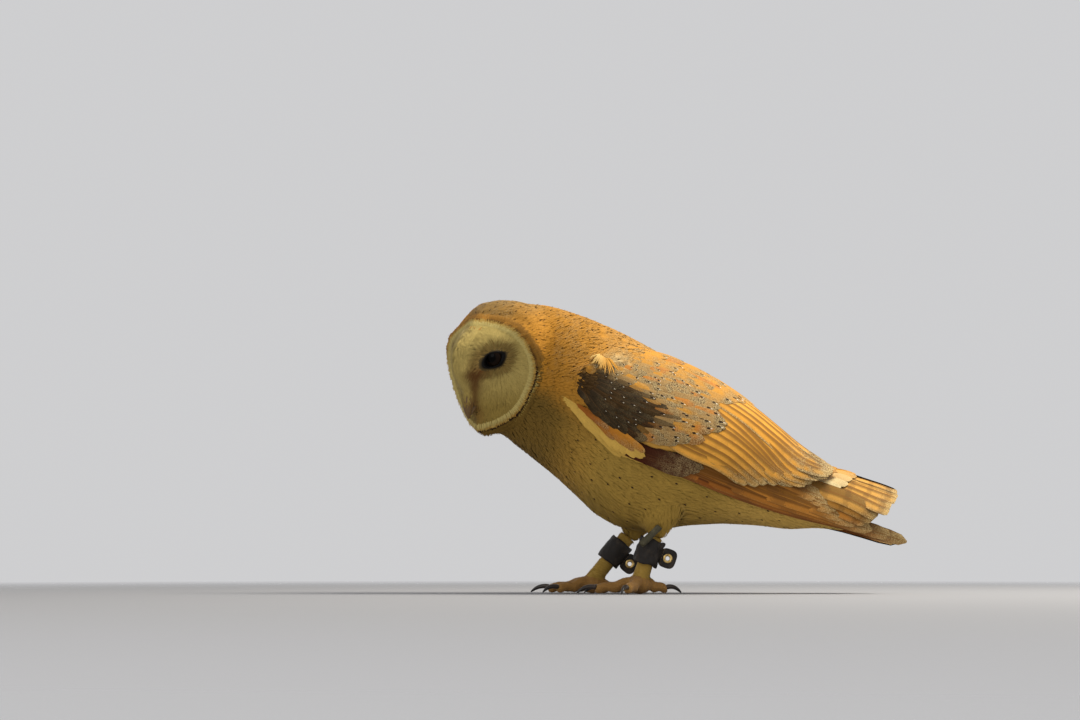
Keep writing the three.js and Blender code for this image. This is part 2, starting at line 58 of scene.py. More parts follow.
MM = 0.001
SIDES = ("left", "right")
HEAD_YAW = 51.5
HEAD_PITCH = 10.5
HEAD_ROLL = 4.0
EYE_FORWARD = 22.5  # from the head's centre
EYE_UP = 6.0
EYE_RADIUS = 8.6
EYE_OPENING = (17.3, 4.3)  # the middle of the left eye's opening, out and up from the head's centre
EYE_SLANT = math.radians(43.5)  # its outer corner is higher than its inner one
EYE_HALF = (7.3, 5.5, 4.8)  # from its middle to a corner, to its upper and to its lower edge
EYE_POWER = 1.6  # its outline is an ellipse at 2 and a lozenge at 1
RIM_RADII = [32, 33, 37.5, 39.5, 39, 42.5, 45.3]  # the facial disc's edge every 30 degrees from the top
RIM_FORWARD = [27, 20, 15.5, 11, 12.5, 17, 26]  # and how far forward it lies there
DISC_EDGE = 0.985  # where the face's own feathers end, as a share of those radii
BEHIND_RIM = 9.0  # the share that stands for anything behind the rim
AXIS_FRONT = np.array([0, -124.5, 163.0])  # the body's axis runs from inside the head
AXIS_BACK = np.array([0, 180.5, 34.5])  # to between the wing tips
KNEES = {"left": (0, 12, 34.5), "right": (0, 29, 35.5)}  # from each foot's middle
FOOT_HEIGHT = 9.5
SKIN_VOXEL = 1.1
FORM_VOXEL = 1.5
BAKE_PATCH = 0.003  # the side of one feather's patch in the OFBake map

# ---- small helpers ----


def unit(vectors):
    return vectors / np.maximum(np.linalg.norm(vectors, axis=-1, keepdims=True), 1e-9)


def dot(a, b):
    return np.sum(a * b, axis=-1, keepdims=True)


def lerp(a, b, share):
    return a + (b - a) * share


def smoothstep(x, low, high):
    share = np.clip((x - low) / (high - low), 0, 1)
    return share * share * (3 - 2 * share)


def bell(x, width):
    return np.exp(-((x / width) ** 2))


def around(count):
    """Angles in equal steps round a whole turn."""
    return np.linspace(0, 2 * np.pi, count, endpoint=False)


def each(value, count):
    """One vector or colour, repeated for each of count points."""
    return np.repeat(value[None], count, 0)


def opaque(colours):
    return np.column_stack([colours, np.ones(len(colours))])


def rounded_length(a, b, power):
    """The length of (a, b) by another power than 2, which bends a circle into a lozenge or a square."""
    return (np.abs(a) ** power + np.abs(b) ** power) ** (1 / power)


def tangent(vectors, normals):
    """The part of each vector that lies along the surface, at unit length."""
    return unit(vectors - normals * dot(vectors, normals))


def curve(values, t):
    """A smooth curve through values, which it passes at t = 0, 1, 2 and so on."""
    values = np.asarray(values, float)
    last = len(values) - 1
    t = np.clip(t, 0, last)
    i = np.minimum(np.asarray(t, int), last - 1)
    f = t - i
    before, start, end, after = (values[np.clip(i + k, 0, last)] for k in (-1, 0, 1, 2))
    if np.ndim(f) and values.ndim > 1:
        f = f[..., None]
    bend = 2 * before - 5 * start + 4 * end - after
    return start + 0.5 * f * (end - before + f * (bend + f * (3 * start - before - 3 * end + after)))


def srgb(red, green, blue):
    """A colour as it is seen, 0 to 1, as the linear value that the shaders take."""
    seen = np.array([red, green, blue], float)
    return np.where(seen <= 0.04045, seen / 12.92, ((seen + 0.055) / 1.055) ** 2.4)


def box_centre(node):
    low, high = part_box(node)
    return np.array((low + high) / 2) / MM


# ---- the owl's own directions ----

BODY_AXIS = unit(AXIS_BACK - AXIS_FRONT)
ACROSS = np.array([1.0, 0, 0])
BODY_UP = np.cross(ACROSS, BODY_AXIS)
HEAD_TURN = np.array(
    Matrix.Rotation(math.radians(HEAD_YAW), 3, "Z")
    @ Matrix.Rotation(math.radians(HEAD_PITCH), 3, "X")
    @ Matrix.Rotation(math.radians(HEAD_ROLL), 3, "Y")
)
HEAD_BACK = HEAD_TURN @ (0, 1, 0)
HEAD_DOWN = HEAD_TURN @ (0, 0, -1)
LEG_DOWN = np.array([0, -0.15, -1.0])
EYES = {side: box_centre(f"eye_{side}") for side in SIDES}
HEAD_CENTRE = (EYES["left"] + EYES["right"]) / 2 - HEAD_TURN @ (0, -EYE_FORWARD, EYE_UP)
FEET = {
    mount["name"].split("_")[0]: np.array(mount["pos_m"]) / MM + (0, 0, FOOT_HEIGHT)
    for mount in frame["record"]["mounts"]
}


def to_head(points):
    """(out to the owl's left, forward, up) from the head's centre, for points in the frame."""
    local = (points - HEAD_CENTRE) @ HEAD_TURN
    return local * (1, -1, 1)


def from_head(local):
    return (np.asarray(local, float) * (1, -1, 1)) @ HEAD_TURN.T + HEAD_CENTRE


def rim_radius(angle):
    """The facial disc's radius at an angle from straight up."""
    from_top = np.abs(np.arctan2(np.sin(angle), np.cos(angle)))
    return curve(RIM_RADII, from_top * 6 / math.pi)


def disc_share(local):
    """How far out from the face's middle a point is, 1 at the disc's rim."""
    angle = np.arctan2(local[:, 0], local[:, 2])
    share = np.hypot(local[:, 0], local[:, 2]) / rim_radius(angle)
    rim_forward = curve(RIM_FORWARD, np.abs(angle) * 6 / math.pi)
    ahead_of_rim = 10 * np.clip(1 - share, 0, 0.25)
    return np.where(local[:, 1] > rim_forward - 1 + ahead_of_rim, share, BEHIND_RIM)


def to_flank(points):
    """(distance along the axis, angle from the back line in degrees), for points in the frame."""
    away = points - AXIS_FRONT
    angle = np.degrees(np.arctan2(np.abs(away[:, 0]), away @ BODY_UP))
    return away @ BODY_AXIS, angle


# ---- reading, changing and writing meshes ----


def read(items, name, width=1, kind=np.float32):
    """A property of all of a mesh's vertices, edges, faces or corners, as rows of width numbers."""
    values = np.zeros(len(items) * width, kind)
    items.foreach_get(name, values)
    return values.reshape(-1, width) if width > 1 else values


def write(items, name, values, kind=np.float32):
    items.foreach_set(name, values.astype(kind).ravel())


def mesh_arrays(mesh):
    """A mesh's points in millimetres, and its normals."""
    return read(mesh.vertices, "co", 3) / MM, read(mesh.vertex_normals, "vector", 3)


def smooth(mesh):
    write(mesh.polygons, "use_smooth", np.ones(len(mesh.polygons)), bool)


def mesh_of(solid):
    """A bmesh written as a mesh, and freed."""
    mesh = bpy.data.meshes.new("part")
    solid.to_mesh(mesh)
    solid.free()
    return mesh


def new_object(name, mesh):
    made = bpy.data.objects.new(name, mesh)
    bpy.context.collection.objects.link(made)
    return made


def modified(mesh, *modifiers):
    """The mesh that modifiers make of another, each of them given as its kind and its settings."""
    body = new_object("body", mesh)
    for kind, settings in modifiers:
        modifier = body.modifiers.new(kind, kind)
        for name, value in settings.items():
            setattr(modifier, name, value)
    made = bpy.data.meshes.new_from_object(body.evaluated_get(bpy.context.evaluated_depsgraph_get()))
    bpy.data.objects.remove(body)
    return made


def grown_solid(node, grow, quads=False):
    """A CAD node's mesh as a bmesh in metres, with its shared corners joined and moved out by grow."""
    solid = bmesh.new()
    solid.from_mesh(frame["nodes"][node].data)
    bmesh.ops.remove_doubles(solid, verts=solid.verts, dist=1e-6)
    solid.normal_update()
    if quads:
        bmesh.ops.join_triangles(
            solid, faces=solid.faces, angle_face_threshold=0.7, angle_shape_threshold=0.7
        )
    for vertex in solid.verts:
        vertex.co += vertex.normal * grow * MM
    return solid


def keep_largest_part(mesh):
    """Clear away the crumbs that remeshing leaves at thin edges."""
    solid = bmesh.new()
    solid.from_mesh(mesh)
    waiting = set(solid.verts)
    parts = []
    while waiting:
        part = [waiting.pop()]
        for vertex in part:
            for edge in vertex.link_edges:
                other = edge.other_vert(vertex)
                if other in waiting:
                    waiting.remove(other)
                    part.append(other)
        parts.append(part)
    parts.sort(key=len)
    crumbs = [vertex for part in parts[:-1] for vertex in part]
    bmesh.ops.delete(solid, geom=crumbs, context="VERTS")
    solid.to_mesh(mesh)
    solid.free()


def union(nodes, grow, voxel, rounds, extra=()):
    """One closed skin round several nodes, grown a little so that they meet, and smoothed."""
    joined = bmesh.new()
    for mesh in [mesh_of(grown_solid(node, grow)) for node in nodes] + list(extra):
        joined.from_mesh(mesh)
    made = modified(
        mesh_of(joined),
        ("REMESH", {"mode": "VOXEL", "voxel_size": voxel * MM}),
        ("SMOOTH", {"factor": 0.5, "iterations": rounds}),
    )
    keep_largest_part(made)
    return made


def write_mesh(name, points, faces, uvs=(), colours=(), facing=None):
    """A mesh object from arrays in millimetres; uvs and colours are (name, values per point) pairs.

    facing gives the shading normal of every corner, where the mesh's own normals aren't wanted.
    """
    mesh = bpy.data.meshes.new(name)
    mesh.vertices.add(len(points))
    write(mesh.vertices, "co", points * MM)
    mesh.loops.add(faces.size)
    write(mesh.loops, "vertex_index", faces, np.int32)
    mesh.polygons.add(len(faces))
    write(mesh.polygons, "loop_start", np.arange(0, faces.size, faces.shape[1]), np.int32)
    smooth(mesh)
    mesh.update(calc_edges=True)
    for layer, values in uvs:
        write(mesh.uv_layers.new(name=layer).data, "uv", values[faces.ravel()])
    for layer, values in colours:
        write(mesh.attributes.new(layer, "FLOAT_COLOR", "POINT").data, "color", values)
    if facing is not None:
        write(mesh.attributes.new("custom_normal", "FLOAT_VECTOR", "CORNER").data, "vector", facing)
    return new_object(name, mesh)


def dress(piece, material, slot, *nodes):
    """Give a piece its material, attach it to the root, and hide the CAD nodes that it stands for."""
    piece.data.materials.clear()
    piece.data.materials.append(material)
    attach(piece, "root")
    if nodes:
        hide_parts(*nodes)
    return piece


# ---- the outer form, on which feathers lie ----


class Surface:
    """A closed surface to lay things on: nearest points, smooth normals and rays."""

    def __init__(self, mesh):
        self.points, self.normals = mesh_arrays(mesh)
        self.faces = [tuple(face.vertices) for face in mesh.polygons]
        self.corners = np.array([face[:3] for face in self.faces])
        self.tree = BVHTree.FromPolygons(self.points.tolist(), self.faces)

    def normals_at(self, index):
        return unit(self.normals[self.corners[index]].mean(axis=1))

    def nearest(self, points):
        hits = [self.tree.find_nearest(point) for point in points.tolist()]
        index = np.array([hit[2] for hit in hits])
        return np.array([hit[0] for hit in hits]), self.normals_at(index), index

    def cast(self, starts, directions):
        """Where rays land, and how far along each; a ray that misses gives a distance of nan."""
        hits = [self.tree.ray_cast(s, d) for s, d in zip(starts.tolist(), directions.tolist())]
        far = np.array([np.nan if hit[3] is None else hit[3] for hit in hits])
        return starts + directions * far[:, None], far


def soften(mesh, rounds):
    """Round off the creases between the body's parts. The face keeps its shape."""
    points, _ = mesh_arrays(mesh)
    count = len(points)
    edges = read(mesh.edges, "vertices", 2, np.int32)
    a, b = edges.T
    neighbours = np.bincount(edges.ravel(), minlength=count)[:, None]
    local = to_head(points)
    past_face = np.hypot(local[:, 0], local[:, 2]) - 45 + 30 * (local[:, 1] < 0)
    free = smoothstep(past_face, 0, 8)[:, None]
    for _ in range(rounds):
        total = np.zeros_like(points)
        for axis in range(3):
            from_first = np.bincount(b, points[a, axis], count)
            total[:, axis] = np.bincount(a, points[b, axis], count) + from_first
        points = lerp(points, total / neighbours, 0.5 * free)
    write(mesh.vertices, "co", points * MM)
    mesh.update()


FORM_NODES = ["head", "neck", "trunk", "eye_left", "eye_right", "bill_upper", "bill_lower"]
FORM_NODES += [f"{part}_{side}" for part in ("wing", "thigh") for side in SIDES]
form_mesh = union(FORM_NODES, 0.35, FORM_VOXEL, 4)
soften(form_mesh, 16)
form = Surface(form_mesh)


def cad_lookup():
    """A search tree of all the CAD faces, and the kind of node that each is on, such as wing or neck."""
    points = []
    faces = []
    kinds = []
    for node, solid in frame["nodes"].items():
        offset = len(points)
        points += [tuple(vertex.co / MM) for vertex in solid.data.vertices]
        faces += [[offset + i for i in face.vertices] for face in solid.data.polygons]
        kind = node.rsplit("_", 1)[0] if node.endswith(SIDES) else node
        kinds += [kind] * len(solid.data.polygons)
    return BVHTree.FromPolygons(points, faces), kinds


cad_tree, cad_kinds = cad_lookup()


def owners(points):
    """The kind of CAD node nearest to each point."""
    return np.array([cad_kinds[cad_tree.find_nearest(point)[2]] for point in points.tolist()])


# ---- plumage: what grows where ----

FACE = srgb(0.73, 0.64, 0.37)
# painted shade: the lower face darker towards the bill
LOWER_FACE_SHADE = srgb(0.58, 0.48, 0.22)
# painted shade in the hollow above each eye's inner corner
BROW_SHADE = srgb(0.50, 0.44, 0.24)
# painted shade in a ring round each eye's opening
EYE_SHADE = srgb(0.44, 0.34, 0.16)
BRIDGE = srgb(0.50, 0.36, 0.17)
RUFOUS = srgb(0.38, 0.23, 0.09)
GOLD = srgb(0.80, 0.56, 0.20)
DEEP_GOLD = srgb(0.66, 0.45, 0.13)
CROWN = srgb(0.47, 0.40, 0.24)
CREAM = srgb(0.67, 0.54, 0.245)
# buff of breast and throat, darker than the bird's own: partly painted shade
SHADED_BUFF = srgb(0.46, 0.355, 0.14)
# the vent's own paler yellow, made brighter still as painted light from behind
VENT_PALE_AND_LIT = srgb(0.86, 0.70, 0.36)
GREY = srgb(0.55, 0.49, 0.36)
# the wrist coverts' own dark grey, deepened to near black as painted shade
SLATE_AND_SHADE = srgb(0.045, 0.035, 0.022)
PALE = srgb(0.91, 0.83, 0.62)
TOE = srgb(0.64, 0.47, 0.24)
SPECK = srgb(0.22, 0.15, 0.09)
SMUDGE_UP = (-26.5, -21, -13.5, -2.5, 2)  # the smudge from eye to bill, by height in the face
SMUDGE_OUT = (3.1, 4.8, 8.2, 10.7, 12.5)  # and how far out its middle is there


def paint(tone, *layers):
    """Lay colours over a tone: each layer is a colour and its share at each point."""
    for colour, share in layers:
        tone = tone + (colour - tone) * np.clip(share, 0, 1)[:, None]
    return tone


def eye_share(local):
    """How far out from the middle of the eye's slanting opening a point is, 1 at its edge."""
    out = np.abs(local[:, 0]) - EYE_OPENING[0]
    up = local[:, 2] - EYE_OPENING[1]
    along = out * math.cos(EYE_SLANT) + up * math.sin(EYE_SLANT)
    across = up * math.cos(EYE_SLANT) - out * math.sin(EYE_SLANT)
    half = np.where(across > 0, EYE_HALF[1], EYE_HALF[2])
    return rounded_length(along / EYE_HALF[0], across / half, EYE_POWER)


def face_tone(local):
    """The facial disc: pale, with a rufous smudge from each eye's inner corner down to the bill, and
    painted shade over its lower part, above each eye and round each eye's opening.
    """
    out = np.abs(local[:, 0])
    up = local[:, 2]
    run = smoothstep(up, -32, -27) * smoothstep(-up, -2, 2)
    smudge = bell(out - np.interp(up, SMUDGE_UP, SMUDGE_OUT), 2.6) * run
    smudge = smudge * lerp(0.75, 0.95, smoothstep(up, -20, -2))
    corner = bell(np.hypot(out - 9.6, up + 2.5), 4.0)
    return paint(
        each(FACE, len(local)),
        (LOWER_FACE_SHADE, 0.85 * smoothstep(-up, 2, 30)),
        (BROW_SHADE, 0.5 * bell(np.hypot(out - 8, up - 14), 6)),
        (EYE_SHADE, 0.8 * smoothstep(-eye_share(local), -2.1, -1.1)),
        (BRIDGE, 0.7 * bell(out, 6) * bell(up + 30, 9)),
        (RUFOUS, np.maximum(smudge, 0.95 * corner)),
    )


def plumage(points, kinds, faced=None):
    """The coat's colour and its grey veil at each point. faced says whether they are all on the disc."""
    local = to_head(points)
    along, angle = to_flank(points)
    under = smoothstep(angle, 88, 122)
    crown = bell(local[:, 0], 26) * (kinds == "head") * smoothstep(local[:, 2], 22, 40)
    winged = np.isin(kinds, ("wing", "primaries"))
    wrist = winged * smoothstep(angle, 62, 76) * smoothstep(-along, -118, -98)
    tone = paint(
        each(GOLD, len(points)),
        (DEEP_GOLD, 0.55 * bell(along - 30, 26) * (1 - under)),
        # the breast: its buff, partly painted shade
        (SHADED_BUFF, under * smoothstep(along, 95, 40)),
        (CREAM, under * smoothstep(along, 35, 90)),
        # the vent: paler, partly its own colour and partly painted light
        (VENT_PALE_AND_LIT, 0.8 * under * smoothstep(along, 150, 210)),
        (CROWN, 0.75 * crown),
        (CREAM, 0.9 * (kinds == "thigh")),
        (CREAM, kinds == "shank"),
        (TOE, kinds == "foot"),
        # the wrist: its own dark grey, partly painted shade
        (SLATE_AND_SHADE, 0.92 * wrist),
        (PALE, 0.7 * bell(along - 69, 9) * bell(angle - 58, 9)),
    )
    on_disc = disc_share(local) < DISC_EDGE if faced is None else np.full(len(points), faced)
    tone = np.where(on_disc[:, None], face_tone(local), tone)
    above = (1 - smoothstep(angle, 62, 100)) * ~on_disc
    veil = above * (0.25 + 0.5 * smoothstep(along, 50, 95)) * (kinds != "foot")
    veil = np.where(kinds == "head", 0.5 * crown, veil) * (1 - 0.85 * wrist) * ~on_disc
    return tone, veil


COAT_DEPTH = {"head": 1.5, "neck": 2, "trunk": 2.3, "wing": 1.8, "thigh": 2, "eye": 1.2, "bill": 1.2}
FACE_DEPTH = 1.1
SOCKET_DEPTH = 5.0  # behind the eyelids


def coat_depth(points, kinds):
    """How far under the outer form the skin lies."""
    depth = np.array([COAT_DEPTH.get(kind, 2.0) for kind in kinds])
    local = to_head(points)
    on_disc = disc_share(local) < 1.03
    depth = np.where(on_disc, FACE_DEPTH, depth)
    return np.where(on_disc & (eye_share(local) < 1.1), SOCKET_DEPTH, depth)


def lie(points, normals, kinds):
    """The way feathers lie: outwards round each eye, back over the head, down the body and legs."""
    local = to_head(points)
    on_head = smoothstep(to_flank(points)[0], 62, 30)[:, None]
    flow = BODY_AXIS * (1 - 0.45 * on_head) + HEAD_BACK * 0.85 * on_head
    flow = np.where((kinds == "thigh")[:, None], LEG_DOWN, flow)
    radial = unit(points - np.where(local[:, :1] > 0, EYES["left"], EYES["right"]))
    on_ridge = smoothstep(-np.abs(local[:, 0]), -13, -2)
    radial = unit(lerp(radial, HEAD_DOWN, on_ridge[:, None]))
    flow = np.where((disc_share(local) < 1)[:, None], radial, flow)
    return tangent(flow, normals)


# ---- materials ----


class Value:
    """A number or colour in a shader. Arithmetic on it adds Math nodes."""

    def __init__(self, nodes, socket):
        self.nodes = nodes
        self.socket = socket

    def __add__(self, other):
        return self.nodes.calc("ADD", self, other)

    def __sub__(self, other):
        return self.nodes.calc("SUBTRACT", self, other)

    def __rsub__(self, other):
        return self.nodes.calc("SUBTRACT", other, self)

    def __mul__(self, other):
        return self.nodes.calc("MULTIPLY", self, other)

    __radd__ = __add__
    __rmul__ = __mul__


class Nodes:
    """Short calls that add shader nodes to a tree. An input may be a number, a colour or a Value."""

    def __init__(self, tree):
        self.tree = tree

    def link(self, value, node, name):
        self.tree.links.new(value.socket, node.inputs[name])

    def add(self, kind, inputs, output=0, **properties):
        """A new node, of which one output is used."""
        made = self.tree.nodes.new("ShaderNode" + kind)
        for name, value in properties.items():
            setattr(made, name, value)
        for name, value in inputs.items():
            if isinstance(value, Value):
                self.link(value, made, name)
            else:
                made.inputs[name].default_value = value
        return Value(self, made.outputs[output])

    def split(self, kind, value):
        """The channels of a colour, or the coordinates of a vector."""
        made = self.tree.nodes.new("ShaderNodeSeparate" + kind)
        self.link(value, made, 0)
        return [Value(self, socket) for socket in made.outputs]

    def calc(self, operation, a, b=0.0, c=0.0):
        return self.add("Math", {0: a, 1: b, 2: c}, operation=operation)

    def mix(self, share, a, b):
        a, b = (colour if isinstance(colour, Value) else (*colour, 1) for colour in (a, b))
        return self.add("Mix", {0: share, 6: a, 7: b}, 2, data_type="RGBA")

    def scaled(self, colour, gain):
        return self.add("VectorMath", {0: colour, "Scale": gain}, operation="SCALE")

    def length(self, vector):
        return self.add("VectorMath", {0: vector}, "Value", operation="LENGTH")

    def step(self, value, low, high):
        """0 below low and 1 above high, smooth between."""
        return self.add("MapRange", {0: value, 1: low, 2: high}, interpolation_type="SMOOTHSTEP")

    def place(self):
        return self.add("TexCoord", {}, "Object")

    def noise(self, scale, detail=3.0):
        return self.add("TexNoise", {"Vector": self.place(), "Scale": scale, "Detail": detail}, "Fac")

    def cells(self, scale):
        """The distance to the edge of small irregular cells."""
        inputs = {"Vector": self.place(), "Scale": scale}
        return self.add("TexVoronoi", inputs, feature="DISTANCE_TO_EDGE")

    def attribute(self, name, output="Color"):
        return self.add("Attribute", {}, output, attribute_name=name)

    def vane(self):
        """Across a feather from edge to edge, and along it from root to tip."""
        return self.split("XYZ", self.add("UVMap", {}, uv_map="Vane"))[:2]


class Material(Nodes):
    """A material's nodes, with its main shader."""

    def __init__(self, name, roughness, specular=0.3, sheen=0.0, coat=0.0):
        self.material = bpy.data.materials.new(name)
        self.material.use_nodes = True
        super().__init__(self.material.node_tree)
        self.shader = self.tree.nodes["Principled BSDF"]
        self.shader.inputs["Roughness"].default_value = roughness
        self.shader.inputs["Specular IOR Level"].default_value = specular
        self.shader.inputs["Sheen Weight"].default_value = sheen
        self.shader.inputs["Coat Weight"].default_value = coat

    def complete(self, colour, height=None, strength=0.0, depth=0.0):
        """The material with its colour, and with a relief of some depth in millimetres."""
        self.link(colour, self.shader, "Base Color")
        if height is not None:
            inputs = {"Height": height, "Strength": strength, "Distance": depth * MM}
            self.link(self.add("Bump", inputs), self.shader, "Normal")
        return self.material


PEARLS = (
    # place along the feather, size, colour
    (0.88, 0.045, srgb(0.10, 0.08, 0.06)),
    (0.935, 0.026, srgb(0.95, 0.92, 0.84)),
)


def feather_material(name, barbs, shaft, sheen, grey_from=0.4, edging_and_shade=0.0):
    """A feather: its own tone, fine barbs, a shaft, and grey veil, pearls and bars where it has them.

    edging_and_shade is how strongly its pale free edge and tip stand out, and how strongly painted shade
    darkens the part that the next feather covers and a line along its edges.
    """
    n = Material(name, roughness=0.8, specular=0.12, sheen=sheen)
    across, length = n.vane()
    side = n.calc("ABSOLUTE", across - 0.5)
    veil, pearl, bars = n.split("Color", n.attribute("marks"))
    chance = n.attribute("marks", "Alpha")

    barb = n.calc("SINE", (length - side * 0.55) * barbs)
    ruffle = n.noise(900)
    streak = barb * 0.04 + ruffle * 0.3 + n.noise(32, 1.0) * 0.3
    # painted shade and highlight: the part that the next feather covers is darker, and the free part a
    # little brighter
    covered_shade = 1.0 - n.step(across, 0.56, 0.74)
    gain = 0.74 + streak + (chance - 0.5) * 0.14
    gain = gain * (1.0 + 0.18 * edging_and_shade - covered_shade * (0.74 * edging_and_shade))
    colour = n.scaled(n.attribute("tone"), gain)

    speckle = n.step(n.noise(1700, 2.0), 0.38, 0.63)
    grey = n.mix(speckle, srgb(0.27, 0.20, 0.12), srgb(0.78, 0.68, 0.48))
    patchy = n.step(n.noise(120, 1.0), 0.3, 0.62)
    spread = n.step(length, grey_from, 0.96) * (0.35 + patchy) + n.step(across, 0.84, 0.93) * edging_and_shade
    colour = n.mix(n.calc("MINIMUM", veil * spread, 0.95), colour, grey)

    at_tip = n.step(length, 0.86, 0.98) * (0.75 * edging_and_shade)
    colour = n.mix(at_tip, colour, n.mix(speckle, srgb(0.60, 0.47, 0.27), srgb(0.90, 0.80, 0.56)))

    wave = n.calc("SINE", length * 29.0 + ruffle * 2.5)
    colour = n.mix(n.step(wave, 0.35, 0.85) * bars, colour, srgb(0.34, 0.23, 0.14))

    for at, size, spot in PEARLS:
        away = n.length(n.add("CombineXYZ", {0: side * 0.42, 1: length - at}))
        colour = n.mix((1.0 - n.step(away, size * 0.7, size)) * pearl, colour, spot)

    on_shaft = (1.0 - n.step(side, 0.012, 0.04)) * shaft
    colour = n.mix(on_shaft, colour, srgb(0.55, 0.36, 0.17))
    # painted shadow: a dark line along each edge, where one flight feather lies over the next
    edge_shadow = n.step(side, 0.455, 0.5) * edging_and_shade
    colour = n.mix(edge_shadow * 0.75, colour, srgb(0.30, 0.19, 0.08))
    return n.complete(colour, barb * 0.5 + ruffle * 0.8, 0.3, 0.2)


def skin_material():
    """Skin under the coat, in the coat's own colours, and the scaly bare toes."""
    n = Material("skin", roughness=0.7, specular=0.25, sheen=0.1)
    veil, scaly, _ = n.split("Color", n.attribute("marks"))
    crease = n.calc("MAXIMUM", n.step(n.cells(620.0), 0.0, 0.12), 1.0 - scaly)
    gain = crease * 0.2 + (0.72 + n.noise(300) * 0.3)
    colour = n.scaled(n.attribute("tone"), gain)
    colour = n.mix(veil * n.noise(900), colour, srgb(0.45, 0.38, 0.30))
    return n.complete(colour, crease + n.noise(500), 0.5, 0.4)


def eye_material():
    """A nearly black eye: dark brown iris, black pupil, wet cornea."""
    n = Material("eye", roughness=0.05, specular=0.05)
    fibres = n.noise(2200, 2.0) * 0.3
    return n.complete(n.mix(fibres, n.attribute("tone"), srgb(0.05, 0.03, 0.02)))


def lid_material():
    """The thin wrinkled skin of the eyelids, moist at the lip."""
    n = Material("eyelid", roughness=0.6, specular=0.12)
    wrinkles = n.noise(1300, 4.0)
    return n.complete(n.scaled(n.attribute("tone"), 0.75 + wrinkles * 0.5), wrinkles, 0.4, 0.2)


def horn_material(name, root, tip, roughness):
    """Bill or claw: horn that changes from root to tip, with fine growth lines."""
    n = Material(name, roughness=roughness, specular=0.3, coat=0.12)
    n.shader.inputs["Coat Roughness"].default_value = 0.25
    _, along = n.vane()
    lines = n.calc("SINE", along * 70.0 + n.noise(700) * 9.0)
    colour = n.mix(n.step(along, 0.1, 0.9) + lines * 0.06, root, tip)
    colour = n.mix(n.noise(420) * 0.5, colour, root * 0.55)
    return n.complete(colour, lines, 0.15, 0.1)


def leather_material(name, colour, worn):
    """Worn leather: grain, creases and paler rubbed edges."""
    n = Material(name, roughness=0.58, specular=0.4)
    grain = n.cells(1500.0)
    rubbed = n.step(n.noise(160, 5.0), 0.48, 0.72)
    mixed = n.mix(rubbed * 0.8, colour, worn)
    mixed = n.mix((1.0 - n.step(grain, 0.0, 0.25)) * 0.6, mixed, colour * 0.4)
    return n.complete(mixed, n.step(grain, 0.0, 0.3) + n.noise(260, 4.0) * 1.5, 0.5, 0.3)


def brass_material():
    """Worn brass, tarnished in patches."""
    n = Material("brass", roughness=0.34)
    n.shader.inputs["Metallic"].default_value = 1.0
    tarnish = n.step(n.noise(500, 4.0), 0.45, 0.7)
    colour = n.mix(tarnish, srgb(0.86, 0.74, 0.48), srgb(0.50, 0.38, 0.21))
    return n.complete(colour, n.noise(2500), 0.15, 0.05)


soft_feather = feather_material("contour_feather", barbs=150.0, shaft=0.15, sheen=0.05)
face_feather = feather_material("face_feather", barbs=40.0, shaft=0.0, sheen=0.1)
flight_feather = feather_material(
    "flight_feather", barbs=420.0, shaft=0.85, sheen=0.04, grey_from=0.6, edging_and_shade=0.9
)

# ---- skin ----


def inset_form():
    """The outer form moved in by the coat's depth, or by a share of its own thickness where it is thin."""
    depth = coat_depth(form.points, owners(form.points))
    _, across = form.cast(form.points - form.normals * 0.05, -form.normals)
    depth = np.minimum(depth, 0.3 * np.nan_to_num(across, nan=20.0))
    mesh = form_mesh.copy()
    write(mesh.vertices, "co", (form.points - form.normals * depth[:, None]) * MM)
    return mesh


def make_skin():
    """One skin over body and legs, painted as the coat is, with its own unwrap."""
    legs = [f"{part}_{side}" for part in ("shank", "foot") for side in SIDES]
    mesh = union(legs, 0.0, SKIN_VOXEL, 2, extra=[inset_form()])
    points, _ = mesh_arrays(mesh)
    kinds = owners(points)
    tone, veil = plumage(points, kinds)
    marks = np.column_stack([veil, kinds == "foot", 0 * veil])
    for name, values in (("tone", tone), ("marks", marks)):
        write(mesh.attributes.new(name, "FLOAT_COLOR", "POINT").data, "color", opaque(values))
    smooth(mesh)
    skin = new_object("skin", mesh)
    bpy.context.view_layer.objects.active = skin
    skin.select_set(True)
    mesh.uv_layers.new(name="OFBake")
    bpy.ops.object.mode_set(mode="EDIT")
    bpy.ops.mesh.select_all(action="SELECT")
    bpy.ops.uv.smart_project(angle_limit=math.radians(66), island_margin=0.001)
    bpy.ops.object.mode_set(mode="OBJECT")
    skin.select_set(False)
    flesh = ["head", "neck", "trunk"]
    flesh += [f"{part}_{side}" for part in ("wing", "thigh", "shank", "foot") for side in SIDES]
    return dress(skin, skin_material(), "plumage_cream", *flesh)


skin = make_skin()
skin_surface = Surface(skin.data)
skin_starts = read(skin.data.polygons, "loop_start", kind=np.int32)
skin_uvs = read(skin.data.uv_layers["OFBake"].data, "uv", 2)


def bake_place(points):
    """Where on the skin's own unwrap each feather's root is."""
    _, _, index = skin_surface.nearest(points)
    return skin_uvs[skin_starts[index]]


# ---- vanes ----


def cross_section(columns):
    """A vane's section as (u, top) pairs: its left edge, the underside, its right edge, then back over."""
    under = np.linspace(-1, 1, columns)[1:-1]
    over = under if len(under) else np.zeros(1)
    u = np.concatenate([[-1], under, [1], over[::-1]])
    top = np.concatenate([[0], 0 * under, [0], 0 * over + 1])
    return u, top


def vane_faces(columns, sides, rings):
    """One vane's triangles, and for each of them 1 on top or -1 on the underside."""
    triangles = []
    shown = []
    end = (rings - 1) * sides
    for i in range(sides):
        j = (i + 1) % sides
        made = [(sides * rings, i, j), (sides * rings + 1, end + j, end + i)]
        for ring in range(rings - 1):
            a, b = ring * sides + i, ring * sides + j
            made += [(a, a + sides, b + sides), (a, b + sides, b)]
        triangles += made
        shown += [-1 if i < columns - 1 else 1] * len(made)
    return np.array(triangles), np.array(shown)


